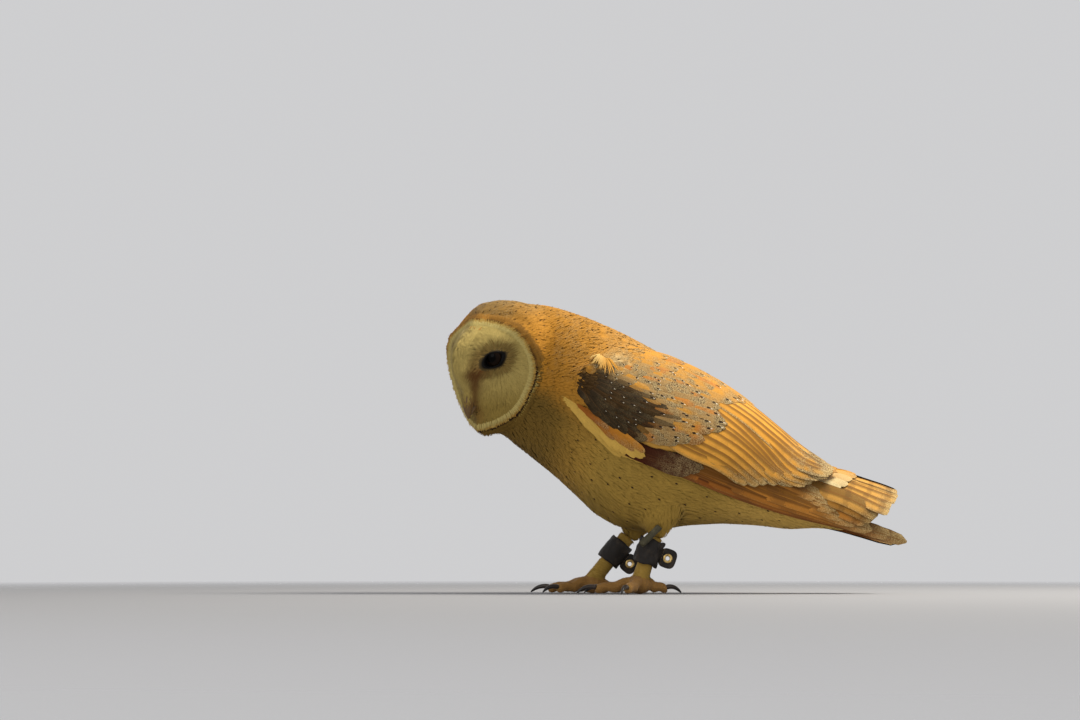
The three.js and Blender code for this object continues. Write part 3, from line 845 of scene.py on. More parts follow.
def vanes(lines, normals, widths, outline, columns=2, cup=0.2, ridge=0.12, thickness=0.3, tilt=0.0,
          ragged=0.0, soft=0.0, rounding=0.3, seed=1):
    """Closed vanes along lines of control points.

    lines and normals are (points per line, feathers, 3). outline lists (share of the length, share of the
    half width) for each ring. soft is how far the shading follows the body's own surface. Returns points,
    triangles, the vane map and the corners' shading normals, feather by feather.
    """
    random = np.random.default_rng(seed)
    count = lines.shape[1]
    last = len(lines) - 1
    u, top = cross_section(columns)
    sides = len(u)
    cosine, sine = math.cos(math.radians(tilt)), math.sin(math.radians(tilt))
    rings = []
    shading = []
    for share, width in outline:
        centre = curve(lines, share * last)
        before, after = (curve(lines, np.clip(share + near, 0, 1) * last) for near in (-0.04, 0.04))
        ahead = unit(after - before)
        body = unit(curve(normals, share * last))
        normal = tangent(body, ahead)
        across = np.cross(ahead, normal)
        across, normal = across * cosine + normal * sine, normal * cosine - across * sine
        uneven = 1 + ragged * random.standard_normal((count, sides)) * np.abs(u)
        half = (widths * width / 2)[:, None] * uneven
        height = half * (ridge * (1 - np.abs(u)) ** 2 - cup * u**2)
        height = height + (top - 0.5) * thickness * (1 - np.abs(u)) ** 0.5
        places = centre[:, None] + across[:, None] * (half * u)[..., None]
        rings.append(places + normal[:, None] * height[..., None])
        face_on = unit(lerp(normal, body, soft))
        shading.append(unit(face_on[:, None] + across[:, None] * (rounding * u)[:, None]))
    root = curve(lines, 0.0)
    jitter = ragged * random.standard_normal((count, 1)) * widths[:, None] * 0.3
    tip = curve(lines, float(last)) + unit(lines[-1] - lines[-2]) * jitter
    body_points = np.stack(rings, axis=1).reshape(count, -1, 3)
    points = np.concatenate([body_points, root[:, None], tip[:, None]], axis=1)
    ends = [shading[0].mean(axis=1, keepdims=True), shading[-1].mean(axis=1, keepdims=True)]
    shading = np.concatenate([np.stack(shading, axis=1).reshape(count, -1, 3)] + ends, axis=1)
    vane = np.array([(0.5 + x / 2, share) for share, _ in outline for x in u] + [(0.5, 0), (0.5, 1)])

    triangles, shown = vane_faces(columns, sides, len(outline))
    facing = shading[:, triangles] * shown[None, :, None, None]
    faces = triangles[None] + (np.arange(count) * points.shape[1])[:, None, None]
    return points, faces.reshape(-1, 3), np.repeat(vane[None], count, 0), facing.reshape(-1, 3, 3)


def marks_of(count, seed, veil=0.0, pearl=0.0, bars=0.0):
    """The four marks of each feather: grey veil, pearl, bars and a random share."""
    chance = np.random.default_rng(seed).random(count)
    none = np.zeros(count)
    return np.column_stack([none + veil, none + pearl, none + bars, chance])


def feather_piece(name, made, tone, marks, material, slot, nodes=(), mirror=False):
    """One coat piece from vanes(), with its colours, its vane map and its OFBake map."""
    points, faces, vane, facing = made
    per_feather = points.shape[1]
    if mirror:
        points = points * (-1, 1, 1)
        faces = faces[:, ::-1]
        facing = facing[:, ::-1] * (-1, 1, 1)
    bake = bake_place(points[:, -2])[:, None] + (vane - 0.5) * BAKE_PATCH
    tone = np.repeat(opaque(tone)[:, None], per_feather, 1)
    marks = np.repeat(marks[:, None], per_feather, 1)
    piece = write_mesh(
        name, points.reshape(-1, 3), faces,
        uvs=[("OFBake", bake.reshape(-1, 2)), ("Vane", vane.reshape(-1, 2))],
        colours=[("tone", tone.reshape(-1, 4)), ("marks", marks.reshape(-1, 4))],
        facing=facing,
    )
    return dress(piece, material, slot, *nodes)


CONTOUR = [(0.04, 0.3), (0.35, 0.85), (0.65, 1.0), (0.87, 0.7)]
FILAMENT = [(0.05, 0.55), (0.42, 1.0), (0.8, 0.62)]


def flight_outline(rings, point=0.1):
    """A long vane's outline: full width soon after the root, and a rounded tip."""
    shares = 1 - (1 - np.linspace(0.02, 0.995, rings)) ** 1.25
    grow = np.clip(shares / 0.12, 0, 1) ** 0.5
    end = np.sqrt(np.clip(1 - (np.clip(shares - 1 + point, 0, 1) / point) ** 2.2, 0, 1))
    return list(zip(shares, np.maximum(grow * end, 0.06)))


# ---- contour feathers, scattered over the form ----


def scatter(surface, faces, spacing, seed):
    """Seeded points spread evenly over some of a surface's faces, about spacing apart."""
    random = np.random.default_rng(seed)
    quads = surface.points[np.array([surface.faces[i] for i in faces])]
    areas = np.linalg.norm(np.cross(quads[:, 2] - quads[:, 0], quads[:, 3] - quads[:, 1]), axis=1) / 2
    tries = int(3.2 * areas.sum() / spacing**2)
    chosen = random.choice(len(quads), tries, p=areas / areas.sum())
    a, b = random.random((2, tries, 1))
    quad = quads[chosen]
    places = lerp(lerp(quad[:, 0], quad[:, 1], a), lerp(quad[:, 3], quad[:, 2], a), b)
    cells = {}
    kept = []
    keys = np.floor(places / spacing).astype(int).tolist()
    near = [(x, y, z) for x in (-1, 0, 1) for y in (-1, 0, 1) for z in (-1, 0, 1)]
    limit = spacing**2
    for index, ((x, y, z), (px, py, pz)) in enumerate(zip(keys, places.tolist())):
        crowded = any(
            (px - qx) ** 2 + (py - qy) ** 2 + (pz - qz) ** 2 < limit
            for dx, dy, dz in near
            for qx, qy, qz in cells.get((x + dx, y + dy, z + dz), ())
        )
        if not crowded:
            cells.setdefault((x, y, z), []).append((px, py, pz))
            kept.append(index)
    return places[kept]


def lay(surface, roots, length, depth, lift, wander, seed):
    """Three points and normals along each feather: sunk root, middle, and a tip on the surface."""
    random = np.random.default_rng(seed)
    place, normal, _ = surface.nearest(roots)
    first_normal = normal
    kinds = owners(roots)
    flow = lie(place, normal, kinds)
    turn = random.standard_normal((len(roots), 1)) * wander
    flow = unit(flow + np.cross(normal, flow) * turn)
    points = [place - normal * depth[:, None]]
    normals = [normal]
    for height in (-0.35 * depth + 0.45 * np.maximum(lift - 0.3, 0), lift):
        ahead = place + flow * length[:, None] / 2
        found, turned, _ = surface.nearest(ahead)
        strayed = (dot(turned, first_normal) < 0.35) | (np.linalg.norm(found - ahead, axis=1)[:, None] > 5)
        place = np.where(strayed, ahead, found)
        normal = np.where(strayed, normal, turned)
        wanted = tangent(lie(place, normal, kinds) + np.cross(normal, flow) * turn, normal)
        flow = tangent(flow * 0.5 + wanted, normal)
        points.append(place + normal * height[:, None])
        normals.append(normal)
    return np.stack(points), np.stack(normals), kinds


class Tracts:
    """Which faces of a surface belong to each tract of the coat."""

    def __init__(self, surface):
        self.surface = surface
        centres = surface.points[surface.corners].mean(axis=1)
        backward = surface.normals_at(np.arange(len(centres))) @ BODY_AXIS
        self.kinds = owners(centres)
        self.along, self.angle = to_flank(centres)
        self.height = centres[:, 2]
        local = to_head(centres)
        share = disc_share(local)
        bare_bill = np.char.startswith(self.kinds, "bill") & (local[:, 2] < -22)
        self.disc = (share < DISC_EDGE) & (eye_share(local) > 1.0) & ~bare_bill
        self.outside = (share >= DISC_EDGE) & (backward < 0.75) & (self.along < 268)
        self.between_wings = (self.along < 150) | (np.abs(centres[:, 0]) < 12)

    def of(self, kind):
        return (self.kinds == kind) & self.outside


on_form = Tracts(form)
on_skin = Tracts(skin_surface)
back_faces = on_form.of("trunk") & (on_form.angle < 62) & on_form.between_wings
belly_faces = on_form.of("trunk") & (on_form.angle >= 62)
shoulder_faces = on_form.of("wing") & (on_form.along < 84)
toe_faces = (on_skin.kinds == "foot") & (on_skin.height > 7)

CONTOUR_TRACTS = {
    # name: surface, faces, spacing, length, width, depth, lift, outline, slot
    "coat_face": (on_form, on_form.disc, 0.66, 6.0, 0.72, 0.8, 0.15, FILAMENT, "face"),
    "coat_crown": (on_form, on_form.of("head"), 0.98, 7, 1.5, 1.2, 0.2, FILAMENT, "plumage_gold"),
    "coat_neck": (on_form, on_form.of("neck"), 1.2, 9.5, 1.9, 1.6, 0.2, FILAMENT, "plumage_gold"),
    "coat_back": (on_form, back_faces, 1.6, 13, 3.2, 1.8, 0.2, CONTOUR, "plumage_gold"),
    "coat_belly": (on_form, belly_faces, 1.35, 12, 2.1, 1.9, 0.2, FILAMENT, "plumage_cream"),
    "coat_shoulder": (on_form, shoulder_faces, 1.5, 9, 2.6, 1.4, 0.1, CONTOUR, "plumage_gold"),
    "coat_thigh": (on_form, on_form.of("thigh"), 1.3, 9, 1.9, 1.6, 0.2, FILAMENT, "plumage_cream"),
    "coat_tarsus": (on_skin, on_skin.kinds == "shank", 1.0, 4.2, 1.1, 0.3, 0.45, FILAMENT, "plumage_cream"),
    "coat_toes": (on_skin, toe_faces, 1.9, 2.8, 0.4, 0.1, 0.3, FILAMENT, "plumage_cream"),
}
MOST_OVERHANG = 3.2  # how far a tip may stand off the body


def make_contour(name, tracts, faces, spacing, length, width, depth, lift, outline, slot, seed):
    """One tract of contour feathers. Those beside an eye rise a little, over the lids."""
    random = np.random.default_rng(seed)
    roots = scatter(tracts.surface, np.flatnonzero(faces), spacing, seed)
    size = 1 + 0.15 * random.standard_normal(len(roots))
    faced = slot == "face"
    by_eye = bell(eye_share(to_head(roots)) - 1.0, 0.45) * faced
    depth = depth * (1 - by_eye)
    lift = lift + 0.55 * by_eye
    lines, normals, kinds = lay(tracts.surface, roots, length * size, depth, lift, 0.14, seed)
    nearest, _, _ = tracts.surface.nearest(lines[-1])
    overhang = np.linalg.norm(lines[-1] - nearest, axis=1)
    kept = (overhang < MOST_OVERHANG) & (dot(normals[0], normals[-1])[:, 0] > 0.2)
    made = vanes(lines[:, kept], normals[:, kept], width * size[kept], outline, cup=0.1, ridge=0.08,
                 thickness=0.14, ragged=0.12, soft=0.88, seed=seed)
    tone, veil = plumage(roots[kept], kinds[kept], faced)
    marks = marks_of(len(veil), seed, veil)
    feather_piece(name, made, tone, marks, face_feather if faced else soft_feather, slot)


def make_specks(name, faces, spacing, length, width, slot):
    """Small dark flecks over the coat."""
    roots = scatter(form, np.flatnonzero(faces), spacing, 51)
    flat = np.zeros(len(roots))
    lines, normals, _ = lay(form, roots, flat + length, flat + 0.1, flat + 0.5, 0.2, 52)
    made = vanes(lines, normals, flat + width, FILAMENT, cup=0.1, ridge=0.1, thickness=0.16,
                 soft=0.7, seed=53)
    feather_piece(name, made, each(SPECK, len(roots)), marks_of(len(roots), 54), soft_feather, slot)


for seed, (name, tract) in enumerate(CONTOUR_TRACTS.items(), 11):
    make_contour(name, *tract, seed)
upper_faces = (on_form.of("head") | on_form.of("neck") | on_form.of("trunk")) & (on_form.angle < 80)
lower_faces = on_form.of("trunk") & (on_form.angle >= 85)
make_specks("specks_dark", upper_faces, 4.4, 1.7, 0.75, "plumage_gold")
make_specks("specks_belly", lower_faces, 11.0, 2.0, 1.3, "plumage_cream")

# ---- the ruff round the facial disc ----

RUFF_ROWS = (
    # share of the rim's radius, feathers, length, width, lean, colour, how dark it gets below and above
    (0.90, 420, 5.2, 0.7, 0.2, srgb(0.77, 0.69, 0.42), 0.0, 0.0),
    (0.94, 440, 4.6, 0.7, 0.3, srgb(0.76, 0.62, 0.32), 0.0, 0.1),
    (0.97, 440, 3.2, 0.8, 0.4, srgb(0.74, 0.55, 0.25), 0.1, 0.5),
    (1.0, 480, 2.8, 1.0, 0.4, srgb(0.74, 0.53, 0.24), 1.0, 0.6),
    (1.015, 520, 4.2, 1.0, 0.15, srgb(0.68, 0.48, 0.19), 0.1, 0.25),
    (1.06, 520, 4.6, 1.0, 0.15, srgb(0.66, 0.47, 0.20), 0.1, 0.0),
)
RUFF_DARK = srgb(0.16, 0.09, 0.04)
AHEAD_OF_HEAD = 70.0  # where rays towards the head start


def onto_face(out, up):
    """Where the outer form lies behind points of the face's plane; a miss has a distance of nan."""
    front = from_head(np.stack([out, 0 * out + AHEAD_OF_HEAD, up], axis=1))
    return form.cast(front, each(HEAD_BACK, len(front)))


def make_ruff_row(index, share, count, length, width, lean, colour, dark_below, dark_above):
    """One row of the disc's rim: short stiff feathers that point outwards, dark in patches."""
    random = np.random.default_rng(30 + index)
    angle = (np.arange(count) + random.random(count) * 0.6) * 2 * np.pi / count
    radius = rim_radius(angle) * share
    roots, far = onto_face(radius * np.sin(angle), radius * np.cos(angle))
    roots, angle = roots[~np.isnan(far)], angle[~np.isnan(far)]
    count = len(roots)
    _, normal, _ = form.nearest(roots)
    outward = from_head(np.stack([np.sin(angle), 0 * angle, np.cos(angle)], axis=1)) - HEAD_CENTRE
    flow = unit(tangent(outward, normal) + lean * normal)
    size = (length * (1 + 0.12 * random.standard_normal(count)))[:, None]
    tips = roots + flow * size - normal * lean * 0.8
    lines = np.stack([roots - normal * 0.9, roots + flow * size * 0.45, tips])
    up = unit(normal - flow * dot(normal, flow))
    made = vanes(lines, np.stack([up] * 3), np.full(count, width), FILAMENT, cup=0.1, thickness=0.16,
                 ragged=0.12, soft=0.5, seed=index)
    below = smoothstep(-np.cos(angle), -0.35, 0.25)
    patchy = lerp(1.0, np.sin(angle * 23) * np.sin(angle * 9) > -0.2, 1 - below)
    dark = lerp(dark_above, dark_below, below) * patchy
    # the outer rows below the face take the breast's buff, which is partly painted shade
    tone = paint(each(colour, count), (SHADED_BUFF, below * (share > 1)), (RUFF_DARK, dark))
    feather_piece(f"ruff_{index + 1}", made, tone, marks_of(count, index), soft_feather, "plumage_gold")


for index, ruff_row in enumerate(RUFF_ROWS):
    make_ruff_row(index, *ruff_row)

# ---- wings and tail, feather by feather in rows ----


def between(rows, column):
    """The value in each row at a column that needn't be whole."""
    left = column.astype(int)[..., None]
    low = np.take_along_axis(rows, left, -1)[..., 0]
    return lerp(low, np.take_along_axis(rows, left + 1, -1)[..., 0], column - left[..., 0])


class Flank:
    """An outer face, by distance along the body's axis and share of the way down from its upper edge."""

    STEP = 10.0  # between the sections at which the face is measured
    REACH = 150.0  # how far out the measuring rays start

    def __init__(self, mesh, low, high, whole=False):
        surface = Surface(mesh)
        angles = np.arange(0.0, 140.0, 2.0)
        out = self.outward(angles)
        self.low = low
        self.last = len(angles) - 1.001
        self.edges = []
        self.radii = []
        for along in np.arange(low, high + 1, self.STEP):
            _, far = surface.cast(AXIS_FRONT + BODY_AXIS * along + out * self.REACH, -out)
            hit = np.flatnonzero(~np.isnan(far))
            self.edges.append((0.0, 100.0) if whole else (angles[hit[0]], angles[hit[-1]]))
            self.radii.append(np.interp(angles, angles[hit], self.REACH - far[hit]))
        self.edges = np.array(self.edges)
        self.edges[1:-1] = (self.edges[:-2] + 2 * self.edges[1:-1] + self.edges[2:]) / 4

    @staticmethod
    def outward(angle):
        radians = np.radians(angle)[..., None]
        return BODY_UP * np.cos(radians) + ACROSS * np.sin(radians)

    def angle(self, along, share):
        edge = curve(self.edges, (along - self.low) / self.STEP)
        return lerp(edge[..., 0], edge[..., 1], share)

    def at(self, along, share, sunk):
        """Points and normals at distances along the axis and shares across, sunk below the face."""
        angle = self.angle(along, share)
        radii = curve(self.radii, (along - self.low) / self.STEP)
        radius = between(radii, np.clip(angle / 2, 0, self.last))
        out = self.outward(angle)
        return AXIS_FRONT + BODY_AXIS * along[..., None] + out * (radius - sunk)[..., None], out


class Roof:
    """The tail's upper face, by distance along the body's axis and share from its middle to its side."""

    STEP = 10.0
    REACH = 80.0

    def __init__(self, mesh, low, high):
        surface = Surface(mesh)
        across = np.arange(0.0, 40.0)
        self.low = low
        self.last = len(across) - 1.001
        self.sides = []
        self.heights = []
        for along in np.arange(low, high + 1, self.STEP):
            starts = AXIS_FRONT + BODY_AXIS * along + ACROSS * across[:, None] + BODY_UP * self.REACH
            _, far = surface.cast(starts, each(-BODY_UP, len(across)))
            hit = np.flatnonzero(~np.isnan(far))
            side = across[hit[-1]]
            self.sides.append([side])
            drop = np.maximum(across - side, 0)
            self.heights.append(self.REACH - np.interp(across, across[hit], far[hit]) - drop)

    def at(self, along, share, sunk):
        place = (along - self.low) / self.STEP
        out = share * curve(self.sides, place)[..., 0]
        heights = curve(self.heights, place)
        height = between(heights, np.clip(out, 0, self.last))
        slope = height - between(heights, np.clip(out + 1, 0, self.last))
        normal = unit(BODY_UP + ACROSS * slope[..., None])
        under = AXIS_FRONT + BODY_AXIS * along[..., None] + ACROSS * out[..., None]
        return under + BODY_UP * height[..., None] - normal * sunk[..., None], normal


arm = Flank(frame["nodes"]["wing_left"].data, 60, 240)
hand = Flank(frame["nodes"]["primaries_left"].data, 80, 310)
roof = Roof(frame["nodes"]["tail"].data, 242, 292)
side_on = Flank(union(["trunk", "neck", "wing_left", "primaries_left"], 0.3, 2.0, 1), 40, 170, whole=True)


def row(flank, count, root, tip, width, sunk, stray, tilt=5.0, seed=1, **vane):
    """A row of feathers: root and tip are lines of (along, share), from the first feather to the last."""
    random = np.random.default_rng(seed)
    order = np.linspace(0, 1, count)
    line = np.linspace(0, 1, 6)[:, None]
    start = curve(root, order * (len(root) - 1))
    end = curve(tip, order * (len(tip) - 1)) + random.standard_normal((count, 2)) * (1, 0.01) * stray
    along = lerp(start[:, 0], end[:, 0], line)
    share = lerp(start[:, 1], end[:, 1], line)
    depth = lerp(sunk[0], sunk[1], np.minimum(1, line * 1.4)) + 0 * along
    lines, normals = flank.at(along, share, depth)
    widths = np.atleast_1d(width)
    widths = np.interp(order, np.linspace(0, 1, len(widths)), widths)
    return vanes(lines, normals, widths, tilt=tilt, seed=seed, **vane)


def tones(count, *colours):
    """A colour for each feather of a row, blended from the first to the last."""
    return curve(colours, np.linspace(0, 1, count) * (len(colours) - 1))


LONG = dict(outline=flight_outline(16), columns=7, cup=0.14, ridge=0.08, thickness=0.45, tilt=14.0)
MIDDLE = dict(outline=flight_outline(10, point=0.3), columns=5, cup=0.16, ridge=0.1, thickness=0.35)
SMALL = dict(outline=flight_outline(7, point=0.45), columns=5, cup=0.18, ridge=0.1, thickness=0.3)
RED_BROWN = srgb(0.50, 0.28, 0.10)
PRIMARY = srgb(0.74, 0.49, 0.19)
TAN_GOLD = srgb(0.84, 0.60, 0.24)
YELLOW = srgb(0.82, 0.66, 0.31)
TAIL = srgb(0.76, 0.56, 0.26)
TAIL_EDGE = srgb(0.80, 0.50, 0.18)
COVERT_DARK = srgb(0.07, 0.03, 0.012)
COVERT_BROWN = srgb(0.27, 0.11, 0.035)
ALULA_BROWN = srgb(0.62, 0.36, 0.12)
ALULA_GOLD = srgb(0.76, 0.50, 0.16)
TUFT_PALE = srgb(0.84, 0.70, 0.42)
WARM_GOLD = srgb(0.78, 0.47, 0.17)

# name: flank, count, root line, tip line, width, colours, (veil, pearl, bars), slot, shape, depths
WING_ROWS = {
    "primaries": (
        hand, 8, [(100, 0.12), (104, 0.9)], [(246, 0.3), (262, 0.52), (284, 0.75), (316, 0.9)], (13, 10),
        (PRIMARY, PRIMARY, RED_BROWN), (0.12, 0, 0.35), "plumage_flight", LONG, (3.2, 0.2),
    ),
    "primary_coverts": (
        hand, 9, [(88, 0.2), (92, 0.95)], [(166, 0.15), (163, 0.5), (150, 0.98)], 9,
        (COVERT_DARK, COVERT_BROWN), (0.42, 0, 0), "plumage_gold", MIDDLE, (1.2, -0.3),
    ),
    "leading_edge": (
        side_on, 13, [(48, 0.99), (70, 1.03), (90, 1.06)],
        [(62, 1.04), (84, 1.14), (103, 1.2), (118, 1.19), (119, 1.13)], (4, 8, 9, 8, 6),
        (YELLOW, YELLOW), (0, 0, 0), "plumage_gold", SMALL, (0.6, -0.7),
    ),
    "alula": (
        side_on, 6, [(60, 1.0), (88, 1.03)], [(84, 1.05), (100, 1.1), (116, 1.1)], (3.5, 5, 5.5),
        (ALULA_BROWN, ALULA_GOLD), (0.4, 0, 0), "plumage_gold", MIDDLE, (0.4, -1.2),
    ),
    "secondaries": (
        arm, 11, [(124, 0.86), (130, 0.6), (134, 0.25)],
        [(188, 1.15), (203, 1.1), (219, 0.98), (233, 0.98), (243, 0.8)], (12, 14),
        (TAN_GOLD, GOLD), (0.45, 0, 0.1), "plumage_flight", LONG, (1.6, 0.2),
    ),
    "tertials": (
        arm, 5, [(128, 0.34), (134, 0.08)], [(245, 0.72), (247, 0.45), (243, 0.2)], 15,
        (GOLD, TAN_GOLD), (0.8, 0.2, 0.1), "plumage_flight", LONG, (1.8, -0.3),
    ),
}

# twelve tail feathers like a roof, the middle pair on top, and the coverts over their roots
TAIL_ROWS = {
    "tail_outer": (
        hand, 4, [(214, 0.1), (214, 0.6)], [(287, 0.0), (283, 0.3), (276, 0.62)], (13, 12),
        (TAIL, TAIL_EDGE), (0.3, 0, 0.3), "plumage_flight", LONG, (3.0, 1.6),
    ),
    "tail": (
        roof, 6, [(238, 0.1), (238, 0.85)], [(297, 0.13), (297, 0.5), (293, 0.98)], (17, 15),
        (TAIL, TAIL), (0.4, 0, 0.3), "plumage_flight", dict(LONG, tilt=6.0), (2.2, 0.2),
    ),
    "tail_coverts": (
        roof, 5, [(234, 0.1), (234, 0.9)], [(266, 0.12), (264, 0.5), (256, 0.95)], (13, 11),
        (GOLD, PALE), (0.3, 0, 0), "plumage_gold", MIDDLE, (0.8, -0.8),
    ),
    "rump_coverts": (
        roof, 5, [(224, 0.05), (224, 0.8)], [(252, 0.1), (249, 0.5), (244, 0.85)], (13, 11),
        (GOLD, GOLD), (0.4, 0, 0), "plumage_gold", MIDDLE, (0.6, -1.4),
    ),
}
REPLACED = {"primaries": "primaries_{}", "tail": "tail"}  # the CAD nodes that rows stand for


def both_sides(name, made, tone, marks, material, slot):
    """A row on the left, and its mirror image on the right."""
    for side in SIDES:
        nodes = [REPLACED[name].format(side)] if name in REPLACED else []
        feather_piece(f"{name}_{side}", made, tone, marks, material, slot, nodes, mirror=side == "right")


def make_rows(rows, stray, seed, marks_seed):
    for index, (name, spec) in enumerate(rows.items()):
        flank, count, root, tip, width, colours, marks, slot, shape, sunk = spec
        made = row(flank, count, root, tip, width, sunk, stray, seed=seed + index, **shape)
        marks = marks_of(count, marks_seed + index, *marks)
        material = flight_feather if slot == "plumage_flight" else soft_feather
        both_sides(name, made, tones(count, *colours), marks, material, slot)


def covert_tone(along, angle, chance):
    """Upper wing coverts: near black at the wrist, their own dark grey deepened by painted shade, grey over
    the middle with golden ones, golden to the back.
    """
    slate_and_shade = smoothstep(angle - (66 + (along - 67) / 4), -5, 5) * smoothstep(-along, -120, -104)
    grey = smoothstep(angle, 36, 54) * (chance > 0.3)
    golden = (chance < 0.16) * (along > 84)
    layers = (GREY, 0.6 * grey), (WARM_GOLD, 0.7 * golden), (SLATE_AND_SHADE, 0.94 * slate_and_shade)
    return paint(each(GOLD, len(along)), *layers), slate_and_shade, grey


def covert_rows():
    """(along, first share, last share, feathers, length, width, reach of the tips) of each row."""
    for k, along in enumerate(np.arange(57, 120, 6)):
        last = 0.98 - 0.012 * k
        yield along, 0.3, last, int(15 - 0.3 * k), 15 + 1.8 * k, 7.0 + 0.45 * k, (-10, 2, 12, -4)
    for k, along in enumerate((76, 86, 97, 109, 122)):
        yield along, 0.0, 0.42, 7, 30 + 4.5 * k, 10 + k * 0.8, (6, 2, -4, -12)


def make_coverts():
    """Rows of coverts and scapulars that overlap like tiles, each row a little larger than the last."""
    for k, (along, first, last, count, length, width, reach) in enumerate(covert_rows()):
        seed = 80 + k
        spread = zip(reach, np.linspace(first, last, len(reach)))
        tips = [(along + length + more, share + 0.03) for more, share in spread]
        made = row(arm, count, [(along, first), (along, last)], tips, width, (1.4, -0.4), 1.8,
                   seed=seed, ragged=0.03, soft=0.3, **SMALL)
        random = np.random.default_rng(seed)
        chance = random.random(count)
        middle = np.full(count, along + length * 0.6)
        angle = arm.angle(middle, np.linspace(first, last, count))
        tone, slate_and_shade, grey = covert_tone(middle, angle, chance)
        veil = lerp(0.65, 1.0, grey) * (1 - 0.9 * slate_and_shade)
        marks = marks_of(count, seed, veil, pearl=random.random(count) < 0.5)
        both_sides(f"coverts_{k + 1}", made, tone, marks, soft_feather, "plumage_gold")


def make_shoulder_tuft():
    """Pale loose feathers that fan out over the shoulder, in front of the scapulars."""
    count = 26
    tips = [(56, 0.6), (62, 0.67), (72, 0.7), (80, 0.66)]
    made = row(side_on, count, [(63, 0.5), (66, 0.53)], tips, 1.4, (0.4, -2.0), 1.4,
               seed=90, outline=FILAMENT, cup=0.1, thickness=0.2, soft=0.3)
    tone = tones(count, TUFT_PALE, GOLD)
    both_sides("shoulder_tuft", made, tone, marks_of(count, 91), soft_feather, "plumage_cream")


make_rows(WING_ROWS, stray=1.2, seed=40, marks_seed=60)
make_coverts()
make_shoulder_tuft()
make_rows(TAIL_ROWS, stray=0.8, seed=70, marks_seed=75)

# ---- eyes ----

MIRROR = {"left": 1, "right": -1}
CORNEA = 0.25  # how far it stands off the ball
ON_BALL = 0.85  # lid rings further in than this share lie on the eyeball
# share of the way out to the opening's edge, height over the form, how black
LID_RINGS = [(0.8, -0.3, 1), (0.88, 0.15, 1), (0.94, 0.4, 1), (1.0, 0.45, 1), (1.06, 0.3, 0.9),
             (1.16, 0.25, 0.75), (1.38, -0.2, 0.6), (1.42, -1.9, 0), (0.95, -1.2, 1)]


def ring_faces(rings, sides):
    """Quads between closed rings of points, ring by ring, the last of them back to the first ring."""
    i, j = np.meshgrid(np.arange(rings), np.arange(sides), indexing="ij")
    next_i, next_j = (i + 1) % rings, (j + 1) % sides
    corners = ((i, j), (i, next_j), (next_i, next_j), (next_i, j))
    return np.stack([ring * sides + place for ring, place in corners], axis=-1)


def make_eye(side):
    """An eyeball with its cornea, in rings from the pupil back. It narrows behind the lids."""
    facing = HEAD_TURN @ unit(np.array([0.28 * MIRROR[side], -1.0, 0.05]))
    across = unit(np.cross(facing, (0, 0, 1)))
    up = np.cross(across, facing)
    angles = np.linspace(0, np.pi, 25)[1:-1]
    turns = around(40)
    count = len(turns)
    radius = (EYE_RADIUS - CORNEA) * (1 - 0.18 * smoothstep(angles, 0.8, 1.1)) + CORNEA * bell(angles, 0.45)
    ring = (np.cos(turns)[:, None] * across + np.sin(turns)[:, None] * up)[None]
    ahead, aside = (radius * np.cos(angles))[:, None, None], (radius * np.sin(angles))[:, None, None]
    body = (ahead * facing + aside * ring).reshape(-1, 3)
    points = np.concatenate([body, [facing * EYE_RADIUS], [-facing * radius[-1]]]) + EYES[side]
    front, back = len(points) - 2, len(points) - 1
    end = (len(angles) - 1) * count
    faces = []
    for a, b, c, d in ring_faces(len(angles), count)[:-1].reshape(-1, 4):
        faces += [(c, d, a), (b, c, a)]
    faces += [((j + 1) % count, j, front) for j in range(count)]
    faces += [(end + j, end + (j + 1) % count, back) for j in range(count)]
    iris = smoothstep(np.concatenate([np.repeat(angles, count), [0, np.pi]]), 0.42, 0.5)
    tone = lerp(srgb(0.01, 0.01, 0.01), srgb(0.10, 0.06, 0.035), iris[:, None])
    piece = write_mesh(f"eyeball_{side}", points, np.array(faces), colours=[("tone", opaque(tone))])
    return dress(piece, eye_look, "eye", f"eye_{side}")


def make_lids(side):
    """The skin round an eye's opening: a dark lip, then a fold that runs in under the feathers."""
    turns = around(56)
    count = len(turns)
    corner = 1 / rounded_length(np.cos(turns), np.sin(turns), EYE_POWER)
    across_half = np.where(np.sin(turns) > 0, EYE_HALF[1], EYE_HALF[2])
    rings = []
    for share, height, _ in LID_RINGS:
        along = share * corner * np.cos(turns) * EYE_HALF[0]
        across = share * corner * np.sin(turns) * across_half
        out = EYE_OPENING[0] + along * math.cos(EYE_SLANT) - across * math.sin(EYE_SLANT)
        up = EYE_OPENING[1] + along * math.sin(EYE_SLANT) + across * math.cos(EYE_SLANT)
        place, _ = onto_face(MIRROR[side] * out, up)
        _, normal, _ = form.nearest(place)
        place = place + normal * height
        if share < ON_BALL:
            place = EYES[side] + unit(place - EYES[side]) * (EYE_RADIUS - 0.5)
        rings.append(place)
    dark = np.repeat([black for _, _, black in LID_RINGS], count)[:, None]
    tone = lerp(srgb(0.60, 0.50, 0.30), srgb(0.02, 0.015, 0.012), dark)
    faces = ring_faces(len(rings), count).reshape(-1, 4)
    if side == "left":
        faces = faces[:, ::-1]
    colours = [("tone", opaque(tone)), ("marks", np.zeros((len(tone), 4)))]
    piece = write_mesh(f"eyelids_{side}", np.concatenate(rings), faces, colours=colours)
    return dress(piece, lid_look, "face")


eye_look = eye_material()
lid_look = lid_material()
for side in SIDES:
    make_eye(side)
    make_lids(side)

# ---- bill and claws ----


